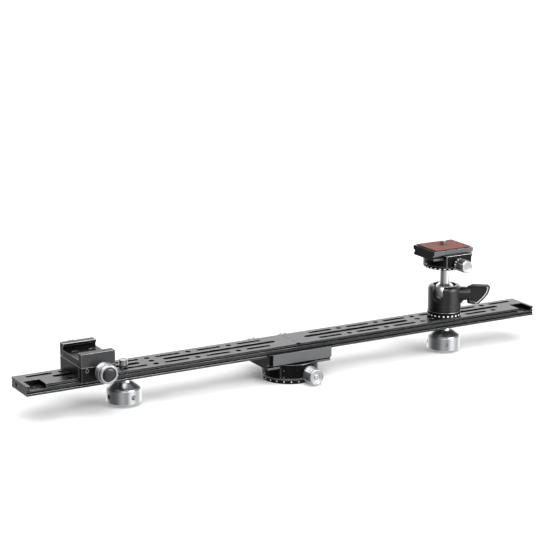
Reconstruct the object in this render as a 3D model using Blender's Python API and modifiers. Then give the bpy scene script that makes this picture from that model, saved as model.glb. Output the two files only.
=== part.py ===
"""Two-piece camera rail on a panning clamp, with a double clamp, two thumbscrews and a ball head.

Units are metres and +Z is up. The origin is the centre of the seat under the panning clamp.
The rail runs along X, and -Y is the side with the clamp knobs.
"""
import math

import bmesh
import bpy
from mathutils import Matrix, Vector

MM = 0.001

# Fits shared by every piece
GAP = 0.3 * MM
LAP = 1.0 * MM
SEGMENTS_LARGE = 32
SEGMENTS_MEDIUM = 24
SEGMENTS_SMALL = 12
ARC_STEPS = 5

# Dovetail shared by the rail, the coupling foot and the release plate
DOVETAIL_WIDTH = 38 * MM
FLANGE_HEIGHT = 2.0 * MM
FLANGE_SLOPE = 1.6 * MM
FOOT_NECK = 5.6 * MM
GROOVE_DRAFT = 0.1 * MM

# Rail halves
RAIL_LENGTH = 300 * MM
RAIL_THICK = 10.2 * MM
RIB_SETBACK = 0.4 * MM
SIDE_ROW_OFFSET = 10.7 * MM
SIDE_SLOT_LENGTH = 28 * MM
SIDE_SLOT_WIDTH = 5.2 * MM
SIDE_HOLE_RADIUS = 3.1 * MM
SIDE_PITCH = 46.4 * MM
FIRST_SIDE_SLOT = 43 * MM
SIDE_SLOT_COUNT = 6
INNER_SLOT_START = 17.5 * MM
INNER_SLOT_END = 146 * MM
MIDDLE_HOLE_AT = 159 * MM
OUTER_SLOT_START = 172 * MM
OUTER_SLOT_END = 265 * MM
POCKET_LENGTH = 16.5 * MM
POCKET_INNER_EDGE = -2 * MM
POCKET_DEPTH = 5 * MM
POCKET_HOLE_RADIUS = 2.2 * MM
END_WALL = 3.5 * MM
END_HOLE_RADIUS = 2.3 * MM
END_HOLE_OFFSET = 7.5 * MM
END_HOLE_DEPTH = 9 * MM

# Panning clamp under the rail
BASE_RADIUS = 29.5 * MM
BASE_RING_HEIGHT = 5.2 * MM
SOCKET_RADIUS = 4.8 * MM
SOCKET_DEPTH = 6.3 * MM
HUB_RADIUS = 9 * MM
PAN_LEDGE = 4.4 * MM
PAN_BODY_HEIGHT = 10.6 * MM
PAN_LIP_TOP = 4.2 * MM
RETAINER_RADIUS = 11 * MM
RETAINER_THICK = 2 * MM
RETAINER_SCREW_RADIUS = 1.5 * MM
RETAINER_HEAD_RADIUS = 3.4 * MM
RETAINER_HEAD_HEIGHT = 1.6 * MM
RETAINER_SCREW_DEPTH = 2.2 * MM
PAN_WASHER_INNER = 11.5 * MM
PAN_WASHER_OUTER = 17 * MM
PAN_WASHER_THICK = 1.0 * MM
PAN_JAW_LENGTH = 44 * MM
PAN_JAW_PROUD = 0.5 * MM
PAN_KNOB_X = 6 * MM
PAN_KNOB_HEIGHT = 9.8 * MM
PAN_KNOB_RADIUS = 8.5 * MM
PAN_KNOB_LENGTH = 15.5 * MM
PAN_SCREW_RADIUS = 2.2 * MM
PAN_PIN_INSET = 14.5 * MM
PAN_PIN_REACH = 3.5 * MM
PAN_PIN_RADIUS = 1.5 * MM

# Lengths that clamp screws and pins reach into their pieces
SCREW_REACH = 6.5 * MM
PIN_REACH = 4.5 * MM
KNOB_SOCKET = 9 * MM
KNOB_EDGE = 0.8 * MM

# Coupling clamp that joins the two rail halves
COUPLING_X = 0.9 * MM
COUPLING_LENGTH = 74.7 * MM
COUPLING_BODY_HEIGHT = 13.3 * MM
COUPLING_NEAR_THICK = 5.4 * MM
COUPLING_JAW_THICK = 12 * MM
COUPLING_KNOB_SPACING = 38 * MM
COUPLING_KNOB_LIFT = 9.1 * MM
COUPLING_KNOB_RADIUS = 7.2 * MM
COUPLING_KNOB_LENGTH = 18.5 * MM
COUPLING_SCREW_RADIUS = 2.0 * MM
COUPLING_PIN_X = 31 * MM
COUPLING_PIN_RADIUS = 1.5 * MM

# Double clamp on the left half
CARRIAGE_X = -228 * MM
CARRIAGE_LENGTH = 35.6 * MM
CARRIAGE_BASE_HEIGHT = 11.2 * MM
CARRIAGE_WALL = 6.7 * MM
CARRIAGE_JAW_THICK = 6.9 * MM
CARRIAGE_KNOB_X = 5 * MM
CARRIAGE_KNOB_LIFT = 5.5 * MM
CARRIAGE_KNOB_RADIUS = 10 * MM
CARRIAGE_KNOB_LENGTH = 13.4 * MM
CARRIAGE_CAP_RADIUS = 6.8 * MM
CARRIAGE_CAP_DEPTH = 2.5 * MM
CARRIAGE_CAP_DOME = 0.8 * MM
CARRIAGE_CAP_CROWN = 0.56 * MM
CARRIAGE_SCREW_RADIUS = 2.5 * MM
STOP_SCREW_X = -12 * MM
STOP_SCREW_LIFT = 8.4 * MM
STOP_SCREW_RADIUS = 1.5 * MM
DECK_HEIGHT = 6.7 * MM
DECK_LIP_TOP = 6.5 * MM
DECK_KNOB_RADIUS = 7.5 * MM
DECK_KNOB_LENGTH = 13.5 * MM
DECK_SCREW_RADIUS = 2.0 * MM
DECK_SCREW_LIFT = 3.2 * MM
DECK_PIN_X = 12 * MM
DECK_PIN_RADIUS = 1.4 * MM
CARRIAGE_BOLT_X = 9 * MM
CARRIAGE_BOLT_Y = 8 * MM
CARRIAGE_BOLT_RADIUS = 2.0 * MM
CARRIAGE_BOLT_HEAD = 3.5 * MM
CARRIAGE_BOLT_HEAD_HEIGHT = 2.4 * MM
CARRIAGE_BOLT_LENGTH = 9.5 * MM
BOLT_SINK = 0.6 * MM

# Thumbscrews that clamp through the middle slots
THUMB_LEFT_X = -190 * MM
HEAD_X = 194 * MM
THUMB_RADIUS = 17.5 * MM
THUMB_GRIP_HEIGHT = 13.9 * MM
THUMB_CONE_HEIGHT = 9.6 * MM
THUMB_NECK_RADIUS = 7.5 * MM
THUMB_NECK_HEIGHT = 1.0 * MM
THUMB_SHOULDER = 0.5 * MM
THUMB_BAR_RADIUS = 2.5 * MM
THUMB_BAR_DEPTH = 5 * MM
THUMB_LEFT_TURN = math.radians(9)
THUMB_RIGHT_TURN = math.radians(-25)
THUMB_SHANK_RADIUS = 3.0 * MM
THUMB_SHANK_SEAT = 18 * MM
THUMB_WASHER_RADIUS = 9 * MM
THUMB_WASHER_THICK = 1.2 * MM
BUSH_RADIUS = 4.75 * MM
BUSH_HEIGHT = 5.7 * MM

# Ball head on the right half
HEAD_RING_RADIUS = 18.3 * MM
HEAD_RING_HEIGHT = 5.7 * MM
HEAD_SHANK_DEPTH = 6.5 * MM
HEAD_HUB_RADIUS = 7 * MM
HEAD_NUT_RADIUS = 10.5 * MM
HEAD_NUT_THICK = 1.7 * MM
HOUSING_RADIUS = 18 * MM
HOUSING_RISE = 9.5 * MM
HOUSING_ROUND = 4.5 * MM
HOUSING_RIM = 1.4 * MM
BALL_RADIUS = 12.5 * MM
BALL_HEIGHT = 24.5 * MM
BALL_CLEARANCE = 0.4 * MM
BALL_CAPTURE = math.radians(20)
CUP_BORE = 6.5 * MM
CUP_DROP = 12.9 * MM
STEM_RADIUS = 5.5 * MM
STEM_TOP = 54.4 * MM
SPIGOT_RADIUS = 4.0 * MM
NOTCH_RADIUS = 6.3 * MM
NOTCH_BEARING = math.radians(208.6)
LOCK_BEARING = math.radians(-36.9)
BOSS_RADIUS = 7.5 * MM
BOSS_REACH = 23.5 * MM
WEB_THICK = 9 * MM
WEB_FOOT = 7 * MM
WEB_DROP = 4.5 * MM
LOCK_BORE = 4.0 * MM
PLUNGER_LENGTH = 4 * MM
LEVER_HUB_RADIUS = 7 * MM
LEVER_HUB_LENGTH = 7 * MM
LEVER_SOCKET = 4.5 * MM
LEVER_THICK = 6 * MM
LEVER_SPAN_UP = 11.5 * MM
LEVER_SPAN_DOWN = 13 * MM
LEVER_LENGTH = 25 * MM
LEVER_SHOULDER = 6.25 * MM
LEVER_TIP_DEPTH = 4.6 * MM
LEVER_CROTCH = 21.5 * MM
LEVER_FOOT = 11.25 * MM

# Small panning clamp on the ball's stem, and its release plate
TOP_RADIUS = 23.75 * MM
TOP_RING_HEIGHT = 3.3 * MM
TOP_LEDGE = 2.2 * MM
TOP_BODY_HEIGHT = 8.0 * MM
TOP_LIP_TOP = 5.1 * MM
TOP_HEAD_RADIUS = 7 * MM
TOP_HEAD_HEIGHT = 1.9 * MM
TOP_HEAD_SHANK = 2.0 * MM
TOP_HEAD_SHANK_LENGTH = 5.5 * MM
TOP_JAW_LENGTH = 32 * MM
TOP_JAW_THICK = 6.7 * MM
TOP_KNOB_LIFT = 3.2 * MM
TOP_KNOB_RADIUS = 7 * MM
TOP_KNOB_LENGTH = 15 * MM
TOP_SCREW_RADIUS = 2.0 * MM
PLATE_LENGTH = 50 * MM
PLATE_WIDTH = 40 * MM
PLATE_X = -3 * MM
PLATE_SLAB = 4.6 * MM
PAD_MARGIN = 2.5 * MM
PAD_THICK = 1.2 * MM
PLATE_SCREW_RADIUS = 3.1 * MM
PLATE_SCREW_HEAD = 6.5 * MM
PLATE_SCREW_HEAD_HEIGHT = 2.6 * MM
PLATE_SCREW_STAND = 4.5 * MM
PLATE_RECESS = 4.0 * MM

# Levels and widths worked out from the sizes above
HALF_WIDTH = DOVETAIL_WIDTH / 2
BASE_TOP = BASE_RING_HEIGHT
PAN_BOTTOM = BASE_TOP + GAP
PAN_FLOOR = PAN_BOTTOM + PAN_BODY_HEIGHT
COUPLING_BOTTOM = PAN_FLOOR + GAP
COUPLING_UNDER = COUPLING_BOTTOM + FOOT_NECK
COUPLING_FLOOR = COUPLING_BOTTOM + COUPLING_BODY_HEIGHT
RAIL_BOTTOM = COUPLING_FLOOR + GAP
RAIL_TOP = RAIL_BOTTOM + RAIL_THICK
SLOT_WIDTH = 2 * (THUMB_SHANK_RADIUS + GAP)
CLAMP_REACH = FLANGE_SLOPE - GAP
RAIL_REACH = FLANGE_SLOPE - GAP - GAP * math.sqrt(2)
RAIL_LIP = FLANGE_HEIGHT + FLANGE_SLOPE - GAP
JAW_FACE = HALF_WIDTH + GAP
BODY_FACE = HALF_WIDTH

TURN_TO_AXIS = {
    "X": Matrix(((0, 0, 1), (1, 0, 0), (0, 1, 0))),
    "Y": Matrix(((1, 0, 0), (0, 0, -1), (0, 1, 0))),
    "Z": Matrix.Identity(3),
}
FACING = {
    "near": (math.radians(90), 0, 0),
    "far": (math.radians(-90), 0, 0),
    "up": (0, 0, 0),
}

FINISHES = {
    "black_anodised": ((0.030, 0.031, 0.034, 1), 0.42, 0.9),
    "grey_anodised": ((0.075, 0.077, 0.082, 1), 0.40, 0.9),
    "satin_silver": ((0.62, 0.62, 0.63, 1), 0.28, 1.0),
    "steel": ((0.48, 0.48, 0.50, 1), 0.30, 1.0),
    "brass": ((0.55, 0.40, 0.16, 1), 0.35, 1.0),
    "acetal": ((0.80, 0.80, 0.76, 1), 0.50, 0.0),
    "black_plastic": ((0.012, 0.012, 0.013, 1), 0.22, 0.0),
    "brown_rubber": ((0.19, 0.085, 0.065, 1), 0.80, 0.0),
}


def clear_scene():
    for obj in list(bpy.data.objects):
        bpy.data.objects.remove(obj, do_unlink=True)


def make_collection(name):
    collection = bpy.data.collections.new(name)
    bpy.context.scene.collection.children.link(collection)
    return collection


def make_finish(name):
    colour, roughness, metallic = FINISHES[name]
    material = bpy.data.materials.new(name)
    material.use_nodes = True
    shader = material.node_tree.nodes["Principled BSDF"]
    shader.inputs["Base Color"].default_value = colour
    shader.inputs["Roughness"].default_value = roughness
    shader.inputs["Metallic"].default_value = metallic
    material.diffuse_color = colour
    return material


clear_scene()
PARTS = make_collection("camera_rail")
CUTTERS = make_collection("camera_rail_cutters")


def frame(name, location, parent=None):
    """An empty that carries the pieces of one assembly."""
    empty = bpy.data.objects.new(name, None)
    empty.location = location
    empty.parent = parent
    PARTS.objects.link(empty)
    return empty


def place(obj, parent, location, facing="up", turn=0.0):
    """Sets an object on its parent, with its own Z axis facing near, far or up."""
    obj.parent = parent
    obj.location = location
    obj.rotation_euler = FACING[facing]
    obj.rotation_euler.rotate_axis("Z", turn)
    return obj


def piece(name, mesh, finish, parent=None, location=(0, 0, 0), facing="up", turn=0.0):
    obj = bpy.data.objects.new(name, mesh)
    PARTS.objects.link(obj)
    mesh.materials.clear()
    mesh.materials.append(make_finish(finish))
    mesh.materials[0].name = f"{name}_{finish}"
    return place(obj, parent, location, facing, turn)


def tool(name, mesh, parent=None, location=(0, 0, 0), facing="up", turn=0.0):
    """A cutter or a joining body, which stays out of the finished object."""
    obj = bpy.data.objects.new(name, mesh)
    CUTTERS.objects.link(obj)
    obj.hide_render = True
    obj.display_type = "WIRE"
    return place(obj, parent, location, facing, turn)


def combine(target, other, operation):
    step = target.modifiers.new(other.name, "BOOLEAN")
    step.operation = operation
    step.solver = "EXACT"
    step.object = other


def cut(target, *others):
    for other in others:
        combine(target, other, "DIFFERENCE")


def unite(target, *others):
    for other in others:
        combine(target, other, "UNION")


def weld(mesh):
    shape = bmesh.new()
    shape.from_mesh(mesh)
    bmesh.ops.remove_doubles(shape, verts=shape.verts, dist=0.001 * MM)
    bmesh.ops.recalc_face_normals(shape, faces=shape.faces)
    shape.to_mesh(mesh)
    shape.free()


def prism(name, outline, depth, axis, along=0.0):
    """A flat outline pushed to a depth along X, Y or Z, centred at `along` on that axis."""
    curve = bpy.data.curves.new(name, "CURVE")
    curve.dimensions = "2D"
    curve.fill_mode = "BOTH"
    curve.extrude = depth / 2
    spline = curve.splines.new("POLY")
    spline.points.add(len(outline) - 1)
    for point, (u, v) in zip(spline.points, outline):
        point.co = (u, v, 0, 1)
    spline.use_cyclic_u = True
    holder = bpy.data.objects.new(name + "_outline", curve)
    bpy.context.scene.collection.objects.link(holder)
    bpy.context.view_layer.update()
    evaluated = holder.evaluated_get(bpy.context.evaluated_depsgraph_get())
    mesh = bpy.data.meshes.new_from_object(evaluated)
    bpy.data.objects.remove(holder)
    mesh.name = name
    mesh.transform(Matrix.Translation((0, 0, along)))
    mesh.transform(TURN_TO_AXIS[axis].to_4x4())
    weld(mesh)
    return mesh


def box(name, low, high):
    shape = bmesh.new()
    centre = (Vector(low) + Vector(high)) / 2
    size = Vector(high) - Vector(low)
    stretch = Matrix.Diagonal(size).to_4x4()
    bmesh.ops.create_cube(shape, size=1.0, matrix=Matrix.Translation(centre) @ stretch)
    mesh = bpy.data.meshes.new(name)
    shape.to_mesh(mesh)
    shape.free()
    return mesh


def joined(name, meshes):
    """Several separate cutter bodies in one mesh."""
    shape = bmesh.new()
    for mesh in meshes:
        shape.from_mesh(mesh)
    result = bpy.data.meshes.new(name)
    shape.to_mesh(result)
    shape.free()
    return result


def round_bar(name, radius, start, end, axis="Z", segments=SEGMENTS_SMALL):
    """A capped cylinder between two points on a line along X, Y or Z."""
    start = Vector(start)
    end = Vector(end)
    turn = {"X": Matrix.Rotation(math.radians(90), 4, "Y"),
            "Y": Matrix.Rotation(math.radians(90), 4, "X"),
            "Z": Matrix.Identity(4)}[axis]
    shape = bmesh.new()
    bmesh.ops.create_cone(
        shape, cap_ends=True, segments=segments, radius1=radius, radius2=radius,
        depth=(end - start).length, matrix=Matrix.Translation((start + end) / 2) @ turn)
    mesh = bpy.data.meshes.new(name)
    shape.to_mesh(mesh)
    shape.free()
    smooth(mesh)
    return mesh


def smooth(mesh):
    mesh.shade_smooth()
    mesh.set_sharp_from_angle(angle=math.radians(35))


def turned(name, profile, finish=None, segments=SEGMENTS_MEDIUM, closed=False, **where):
    """A profile of (radius, height) points turned about Z. A closed profile makes a ring."""
    count = len(profile)
    last = count if closed else count - 1
    mesh = bpy.data.meshes.new(name)
    mesh.from_pydata(
        [(radius, 0, height) for radius, height in profile],
        [(index, (index + 1) % count) for index in range(last)], [])
    obj = piece(name, mesh, finish, **where) if finish else tool(name, mesh, **where)
    screw = obj.modifiers.new("turn", "SCREW")
    screw.angle = math.tau
    screw.steps = segments
    screw.render_steps = segments
    screw.use_merge_vertices = True
    screw.merge_threshold = 0.001 * MM
    screw.use_smooth_shade = True
    return obj


def arc(centre, radius, start, end, steps=ARC_STEPS):
    """Points on an arc, from one angle to another."""
    points = []
    for step in range(steps + 1):
        angle = start + (end - start) * step / steps
        points.append((centre[0] + radius * math.cos(angle), centre[1] + radius * math.sin(angle)))
    return points


def stadium(left, right, middle, width):
    """A slot with round ends, from left to right."""
    radius = width / 2
    quarter = math.pi / 2
    first = arc((right - radius, middle), radius, -quarter, quarter)
    return first + arc((left + radius, middle), radius, quarter, 3 * quarter)


def grip(side, face, up, reach):
    """The two points of a jaw's lip over a dovetail flange whose outer face is at `face`."""
    start = (side * JAW_FACE, face + up * (FLANGE_HEIGHT + GAP * (math.sqrt(2) - 1)))
    tip = (side * (HALF_WIDTH - reach), face + up * (FLANGE_HEIGHT + GAP * math.sqrt(2) + reach))
    return [start, tip]


def knob(name, finish, radius, length, bore, **where):
    """A clamp knob: plain grip, chamfered ends and a blind bore for its screw."""
    socket = min(KNOB_SOCKET, length - 2 * LAP)
    profile = [
        (0, socket), (bore, socket), (bore, 0), (radius - KNOB_EDGE, 0), (radius, KNOB_EDGE),
        (radius, length - KNOB_EDGE), (radius - KNOB_EDGE, length), (0, length)]
    return turned(name, profile[::-1], finish, **where)


# Panning clamp: the fixed index ring, its retainer, the turning body and the near jaw
def make_base():
    hub_top = PAN_BOTTOM + PAN_LEDGE
    screw_bore = RETAINER_SCREW_RADIUS + GAP
    screw_floor = hub_top - RETAINER_SCREW_DEPTH
    ring = [
        (0, screw_floor - GAP), (screw_bore, screw_floor - GAP), (screw_bore, hub_top), (HUB_RADIUS, hub_top),
        (HUB_RADIUS, BASE_TOP), (BASE_RADIUS, BASE_TOP), (BASE_RADIUS, 0),
        (SOCKET_RADIUS, 0), (SOCKET_RADIUS, SOCKET_DEPTH), (0, SOCKET_DEPTH)]
    turned("base_ring", ring, "black_anodised", SEGMENTS_LARGE)
    washer = [
        (PAN_WASHER_INNER, PAN_BOTTOM + PAN_WASHER_THICK), (PAN_WASHER_OUTER, PAN_BOTTOM + PAN_WASHER_THICK),
        (PAN_WASHER_OUTER, PAN_BOTTOM), (PAN_WASHER_INNER, PAN_BOTTOM)]
    turned("pan_washer", washer, "acetal", SEGMENTS_LARGE, closed=True)
    low = hub_top + GAP
    high = low + RETAINER_THICK
    retainer = [(screw_bore, high), (RETAINER_RADIUS, high), (RETAINER_RADIUS, low), (screw_bore, low)]
    turned("pan_retainer", retainer, "steel", closed=True)
    head = high + GAP
    screw = [
        (0, head + RETAINER_HEAD_HEIGHT), (RETAINER_HEAD_RADIUS, head + RETAINER_HEAD_HEIGHT),
        (RETAINER_HEAD_RADIUS, head), (RETAINER_SCREW_RADIUS, head),
        (RETAINER_SCREW_RADIUS, screw_floor), (0, screw_floor)]
    turned("pan_retainer_screw", screw, "steel", SEGMENTS_SMALL)


def make_pan_clamp():
    frame_at = frame("pan_axis", (0, 0, 0))
    top = PAN_FLOOR + GAP + PAN_LIP_TOP
    ledge = PAN_BOTTOM + PAN_LEDGE
    recess = PAN_BOTTOM + PAN_WASHER_THICK + GAP
    bore = HUB_RADIUS + GAP
    counterbore = RETAINER_RADIUS + GAP
    profile = [
        (counterbore, top), (BASE_RADIUS, top), (BASE_RADIUS, PAN_BOTTOM),
        (PAN_WASHER_OUTER + GAP, PAN_BOTTOM), (PAN_WASHER_OUTER + GAP, recess),
        (PAN_WASHER_INNER - GAP, recess), (PAN_WASHER_INNER - GAP, PAN_BOTTOM),
        (bore, PAN_BOTTOM), (bore, ledge), (counterbore, ledge)]
    body = turned("pan_clamp_body", profile, "black_anodised", SEGMENTS_LARGE, closed=True, parent=frame_at)
    beyond = BASE_RADIUS + LAP
    lip = grip(1, PAN_FLOOR + GAP, 1, CLAMP_REACH)
    channel = [
        (-beyond, PAN_FLOOR), (JAW_FACE, PAN_FLOOR), *lip, (lip[1][0], top + LAP), (-beyond, top + LAP)]
    cut(body, tool("pan_channel", prism("pan_channel", channel, 2 * beyond, "X"), frame_at))
    flat = box("pan_flat", (-beyond, -beyond, PAN_BOTTOM - LAP), (beyond, -BODY_FACE, PAN_FLOOR + LAP))
    cut(body, tool("pan_flat", flat, frame_at))
    jaw_low = PAN_BOTTOM + GAP
    near_lip = grip(-1, PAN_FLOOR + GAP, 1, CLAMP_REACH)
    jaw_radius = BASE_RADIUS + PAN_JAW_PROUD
    front = -(jaw_radius + LAP)
    outline = [
        (-JAW_FACE, jaw_low), *near_lip, (near_lip[1][0], top), (front, top), (front, jaw_low)]
    jaw = piece("pan_jaw", prism("pan_jaw", outline, PAN_JAW_LENGTH, "X"), "black_anodised", frame_at)
    rim = round_bar(
        "pan_jaw_rim", jaw_radius, (0, 0, jaw_low - LAP), (0, 0, top + LAP), segments=SEGMENTS_LARGE)
    combine(jaw, tool("pan_jaw_rim", rim, frame_at), "INTERSECT")
    screw_end = -BODY_FACE + SCREW_REACH
    knob_face = -(jaw_radius + GAP)
    screw_tip = knob_face - KNOB_SOCKET + GAP
    bore = PAN_SCREW_RADIUS + GAP
    hole = round_bar(
        "pan_screw_hole", bore, (PAN_KNOB_X, front - LAP, PAN_KNOB_HEIGHT),
        (PAN_KNOB_X, screw_end + GAP, PAN_KNOB_HEIGHT), "Y")
    pin_holes = []
    for side, label in ((-1, "left"), (1, "right")):
        at = side * (BASE_RADIUS - PAN_PIN_INSET)
        pin_start = -JAW_FACE - PAN_PIN_REACH
        pin_end = -BODY_FACE + PIN_REACH
        bar = round_bar(
            f"pan_pin_{label}", PAN_PIN_RADIUS, (0, pin_start, 0), (0, pin_end, 0), "Y")
        piece(f"pan_pin_{label}", bar, "steel", frame_at, (at, 0, PAN_KNOB_HEIGHT))
        pin_holes.append(round_bar(
            f"pan_pin_hole_{label}", PAN_PIN_RADIUS + GAP, (at, pin_start - GAP, PAN_KNOB_HEIGHT),
            (at, pin_end + GAP, PAN_KNOB_HEIGHT), "Y"))
    drill = tool("pan_drill", joined("pan_drill", [hole, *pin_holes]), frame_at)
    cut(body, drill)
    cut(jaw, drill)
    at = (PAN_KNOB_X, 0, PAN_KNOB_HEIGHT)
    bar = round_bar("pan_screw", PAN_SCREW_RADIUS, (0, screw_tip, 0), (0, screw_end, 0), "Y")
    piece("pan_screw", bar, "steel", frame_at, at)
    knob("pan_knob", "satin_silver", PAN_KNOB_RADIUS, PAN_KNOB_LENGTH, bore,
         parent=frame_at, location=(PAN_KNOB_X, knob_face, PAN_KNOB_HEIGHT), facing="near")


# Coupling clamp: the body with its near lip, the far jaw, two screws and two knobs
def make_coupling():
    frame_at = frame("coupling_frame", (COUPLING_X, 0, 0))
    near = -(JAW_FACE + COUPLING_NEAR_THICK)
    waist = HALF_WIDTH - FLANGE_SLOPE
    top = RAIL_BOTTOM + RAIL_LIP
    shoulder = COUPLING_BOTTOM + FLANGE_HEIGHT
    neck = shoulder + FLANGE_SLOPE
    overhang = COUPLING_UNDER - GROOVE_DRAFT
    outline = [
        (-HALF_WIDTH, COUPLING_BOTTOM), (HALF_WIDTH, COUPLING_BOTTOM), (HALF_WIDTH, shoulder), (waist, neck),
        (waist, COUPLING_UNDER), (BODY_FACE, overhang), (BODY_FACE, COUPLING_FLOOR),
        (-JAW_FACE, COUPLING_FLOOR), *grip(-1, RAIL_BOTTOM, 1, RAIL_REACH),
        (near, top), (near, overhang), (-waist, COUPLING_UNDER), (-waist, neck), (-HALF_WIDTH, shoulder)]
    mesh = prism("coupling_body", outline, COUPLING_LENGTH, "X")
    body = piece("coupling_body", mesh, "grey_anodised", frame_at)
    far = JAW_FACE + COUPLING_JAW_THICK
    low = COUPLING_UNDER + GAP
    jaw_outline = [(JAW_FACE, low), (far, low), (far, top), *grip(1, RAIL_BOTTOM, 1, RAIL_REACH)[::-1]]
    mesh = prism("coupling_jaw", jaw_outline, COUPLING_LENGTH, "X")
    jaw = piece("coupling_jaw", mesh, "black_anodised", frame_at)
    height = COUPLING_BOTTOM + COUPLING_KNOB_LIFT
    bore = COUPLING_SCREW_RADIUS + GAP
    face = far + GAP
    screw_end = BODY_FACE - SCREW_REACH
    pin_low = BODY_FACE - PIN_REACH
    pin_high = JAW_FACE + PIN_REACH
    holes = []
    for side, label in ((-1, "left"), (1, "right")):
        at = side * COUPLING_KNOB_SPACING / 2
        bar = round_bar(
            f"coupling_screw_{label}", COUPLING_SCREW_RADIUS, (0, screw_end, 0),
            (0, face + KNOB_SOCKET - GAP, 0), "Y")
        piece(f"coupling_screw_{label}", bar, "steel", frame_at, (at, 0, height))
        knob(f"coupling_knob_{label}", "satin_silver", COUPLING_KNOB_RADIUS, COUPLING_KNOB_LENGTH, bore,
             parent=frame_at, location=(at, face, height), facing="far")
        holes.append(round_bar(
            f"coupling_hole_{label}", bore, (at, screw_end - GAP, height), (at, far + LAP, height), "Y"))
        at = side * COUPLING_PIN_X
        bar = round_bar(
            f"coupling_pin_{label}", COUPLING_PIN_RADIUS, (0, pin_low, 0), (0, pin_high, 0), "Y")
        piece(f"coupling_pin_{label}", bar, "steel", frame_at, (at, 0, height))
        holes.append(round_bar(
            f"coupling_pin_hole_{label}", COUPLING_PIN_RADIUS + GAP, (at, pin_low - GAP, height),
            (at, pin_high + GAP, height), "Y"))
    drill = tool("coupling_drill", joined("coupling_drill", holes), frame_at)
    cut(body, drill)
    cut(jaw, drill)


# Rail halves: a double dovetail with three rows of slots and holes, and a pocket at the outer end
def rail_outline():
    waist = HALF_WIDTH - FLANGE_SLOPE
    rib = HALF_WIDTH - RIB_SETBACK
    upper = RAIL_TOP - FLANGE_HEIGHT
    lower = RAIL_BOTTOM + FLANGE_HEIGHT
    rib_top = upper - FLANGE_SLOPE - GROOVE_DRAFT
    rib_low = lower + FLANGE_SLOPE + GROOVE_DRAFT
    right = [
        (HALF_WIDTH, RAIL_TOP), (HALF_WIDTH, upper), (waist, upper - FLANGE_SLOPE), (rib, rib_top),
        (rib, rib_low), (waist, lower + FLANGE_SLOPE), (HALF_WIDTH, lower), (HALF_WIDTH, RAIL_BOTTOM)]
    return right + [(-y, z) for y, z in reversed(right)]


def rail_cutters(label, side):
    depth = RAIL_THICK + 2 * LAP
    middle = (RAIL_TOP + RAIL_BOTTOM) / 2
    pocket_end = RAIL_LENGTH - END_WALL
    pocket_start = pocket_end - POCKET_LENGTH
    spans = [
        (INNER_SLOT_START, INNER_SLOT_END, 0, SLOT_WIDTH),
        (OUTER_SLOT_START, OUTER_SLOT_END, 0, SLOT_WIDTH)]
    holes = [(MIDDLE_HOLE_AT, 0)]
    for index in range(SIDE_SLOT_COUNT):
        centre = FIRST_SIDE_SLOT + index * SIDE_PITCH
        low = centre - SIDE_SLOT_LENGTH / 2
        high = centre + SIDE_SLOT_LENGTH / 2
        spans.append((low, high, SIDE_ROW_OFFSET, SIDE_SLOT_WIDTH))
        if high + LAP < pocket_start:
            spans.append((low, high, -SIDE_ROW_OFFSET, SIDE_SLOT_WIDTH))
            holes.append((centre + SIDE_PITCH / 2, SIDE_ROW_OFFSET))
            holes.append((centre + SIDE_PITCH / 2, -SIDE_ROW_OFFSET))
    meshes = []
    for low, high, row, width in spans:
        ends = sorted((side * low, side * high))
        meshes.append(prism("rail_slot", stadium(*ends, row, width), depth, "Z", middle))
    for at, row in holes:
        meshes.append(round_bar(
            "rail_hole", SIDE_HOLE_RADIUS, (side * at, row, RAIL_BOTTOM - LAP),
            (side * at, row, RAIL_TOP + LAP)))
    through = tool(f"rail_slots_{label}", joined(f"rail_slots_{label}", meshes))
    ends = sorted((side * pocket_start, side * pocket_end))
    pocket = box(
        f"rail_pocket_{label}", (ends[0], -HALF_WIDTH - LAP, RAIL_TOP - POCKET_DEPTH),
        (ends[1], POCKET_INNER_EDGE, RAIL_TOP + LAP))
    centre = side * (pocket_start + pocket_end) / 2
    row = (POCKET_INNER_EDGE - HALF_WIDTH) / 2
    floor_hole = round_bar(
        "pocket_hole", POCKET_HOLE_RADIUS, (centre, row, RAIL_BOTTOM - LAP),
        (centre, row, RAIL_TOP - POCKET_DEPTH + LAP))
    end_hole = round_bar(
        "end_hole", END_HOLE_RADIUS, (side * (RAIL_LENGTH - END_HOLE_DEPTH), END_HOLE_OFFSET, middle),
        (side * (RAIL_LENGTH + LAP), END_HOLE_OFFSET, middle), "X")
    return [
        through, tool(f"rail_pocket_{label}", pocket),
        tool(f"rail_end_holes_{label}", joined(f"rail_end_holes_{label}", [floor_hole, end_hole]))]


def make_rails():
    length = RAIL_LENGTH - GAP / 2
    for side, label in ((-1, "left"), (1, "right")):
        centre = side * (GAP / 2 + length / 2)
        mesh = prism(f"rail_{label}", rail_outline(), length, "X", centre)
        rail = piece(f"rail_{label}", mesh, "grey_anodised")
        cut(rail, *rail_cutters(label, side))


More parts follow.
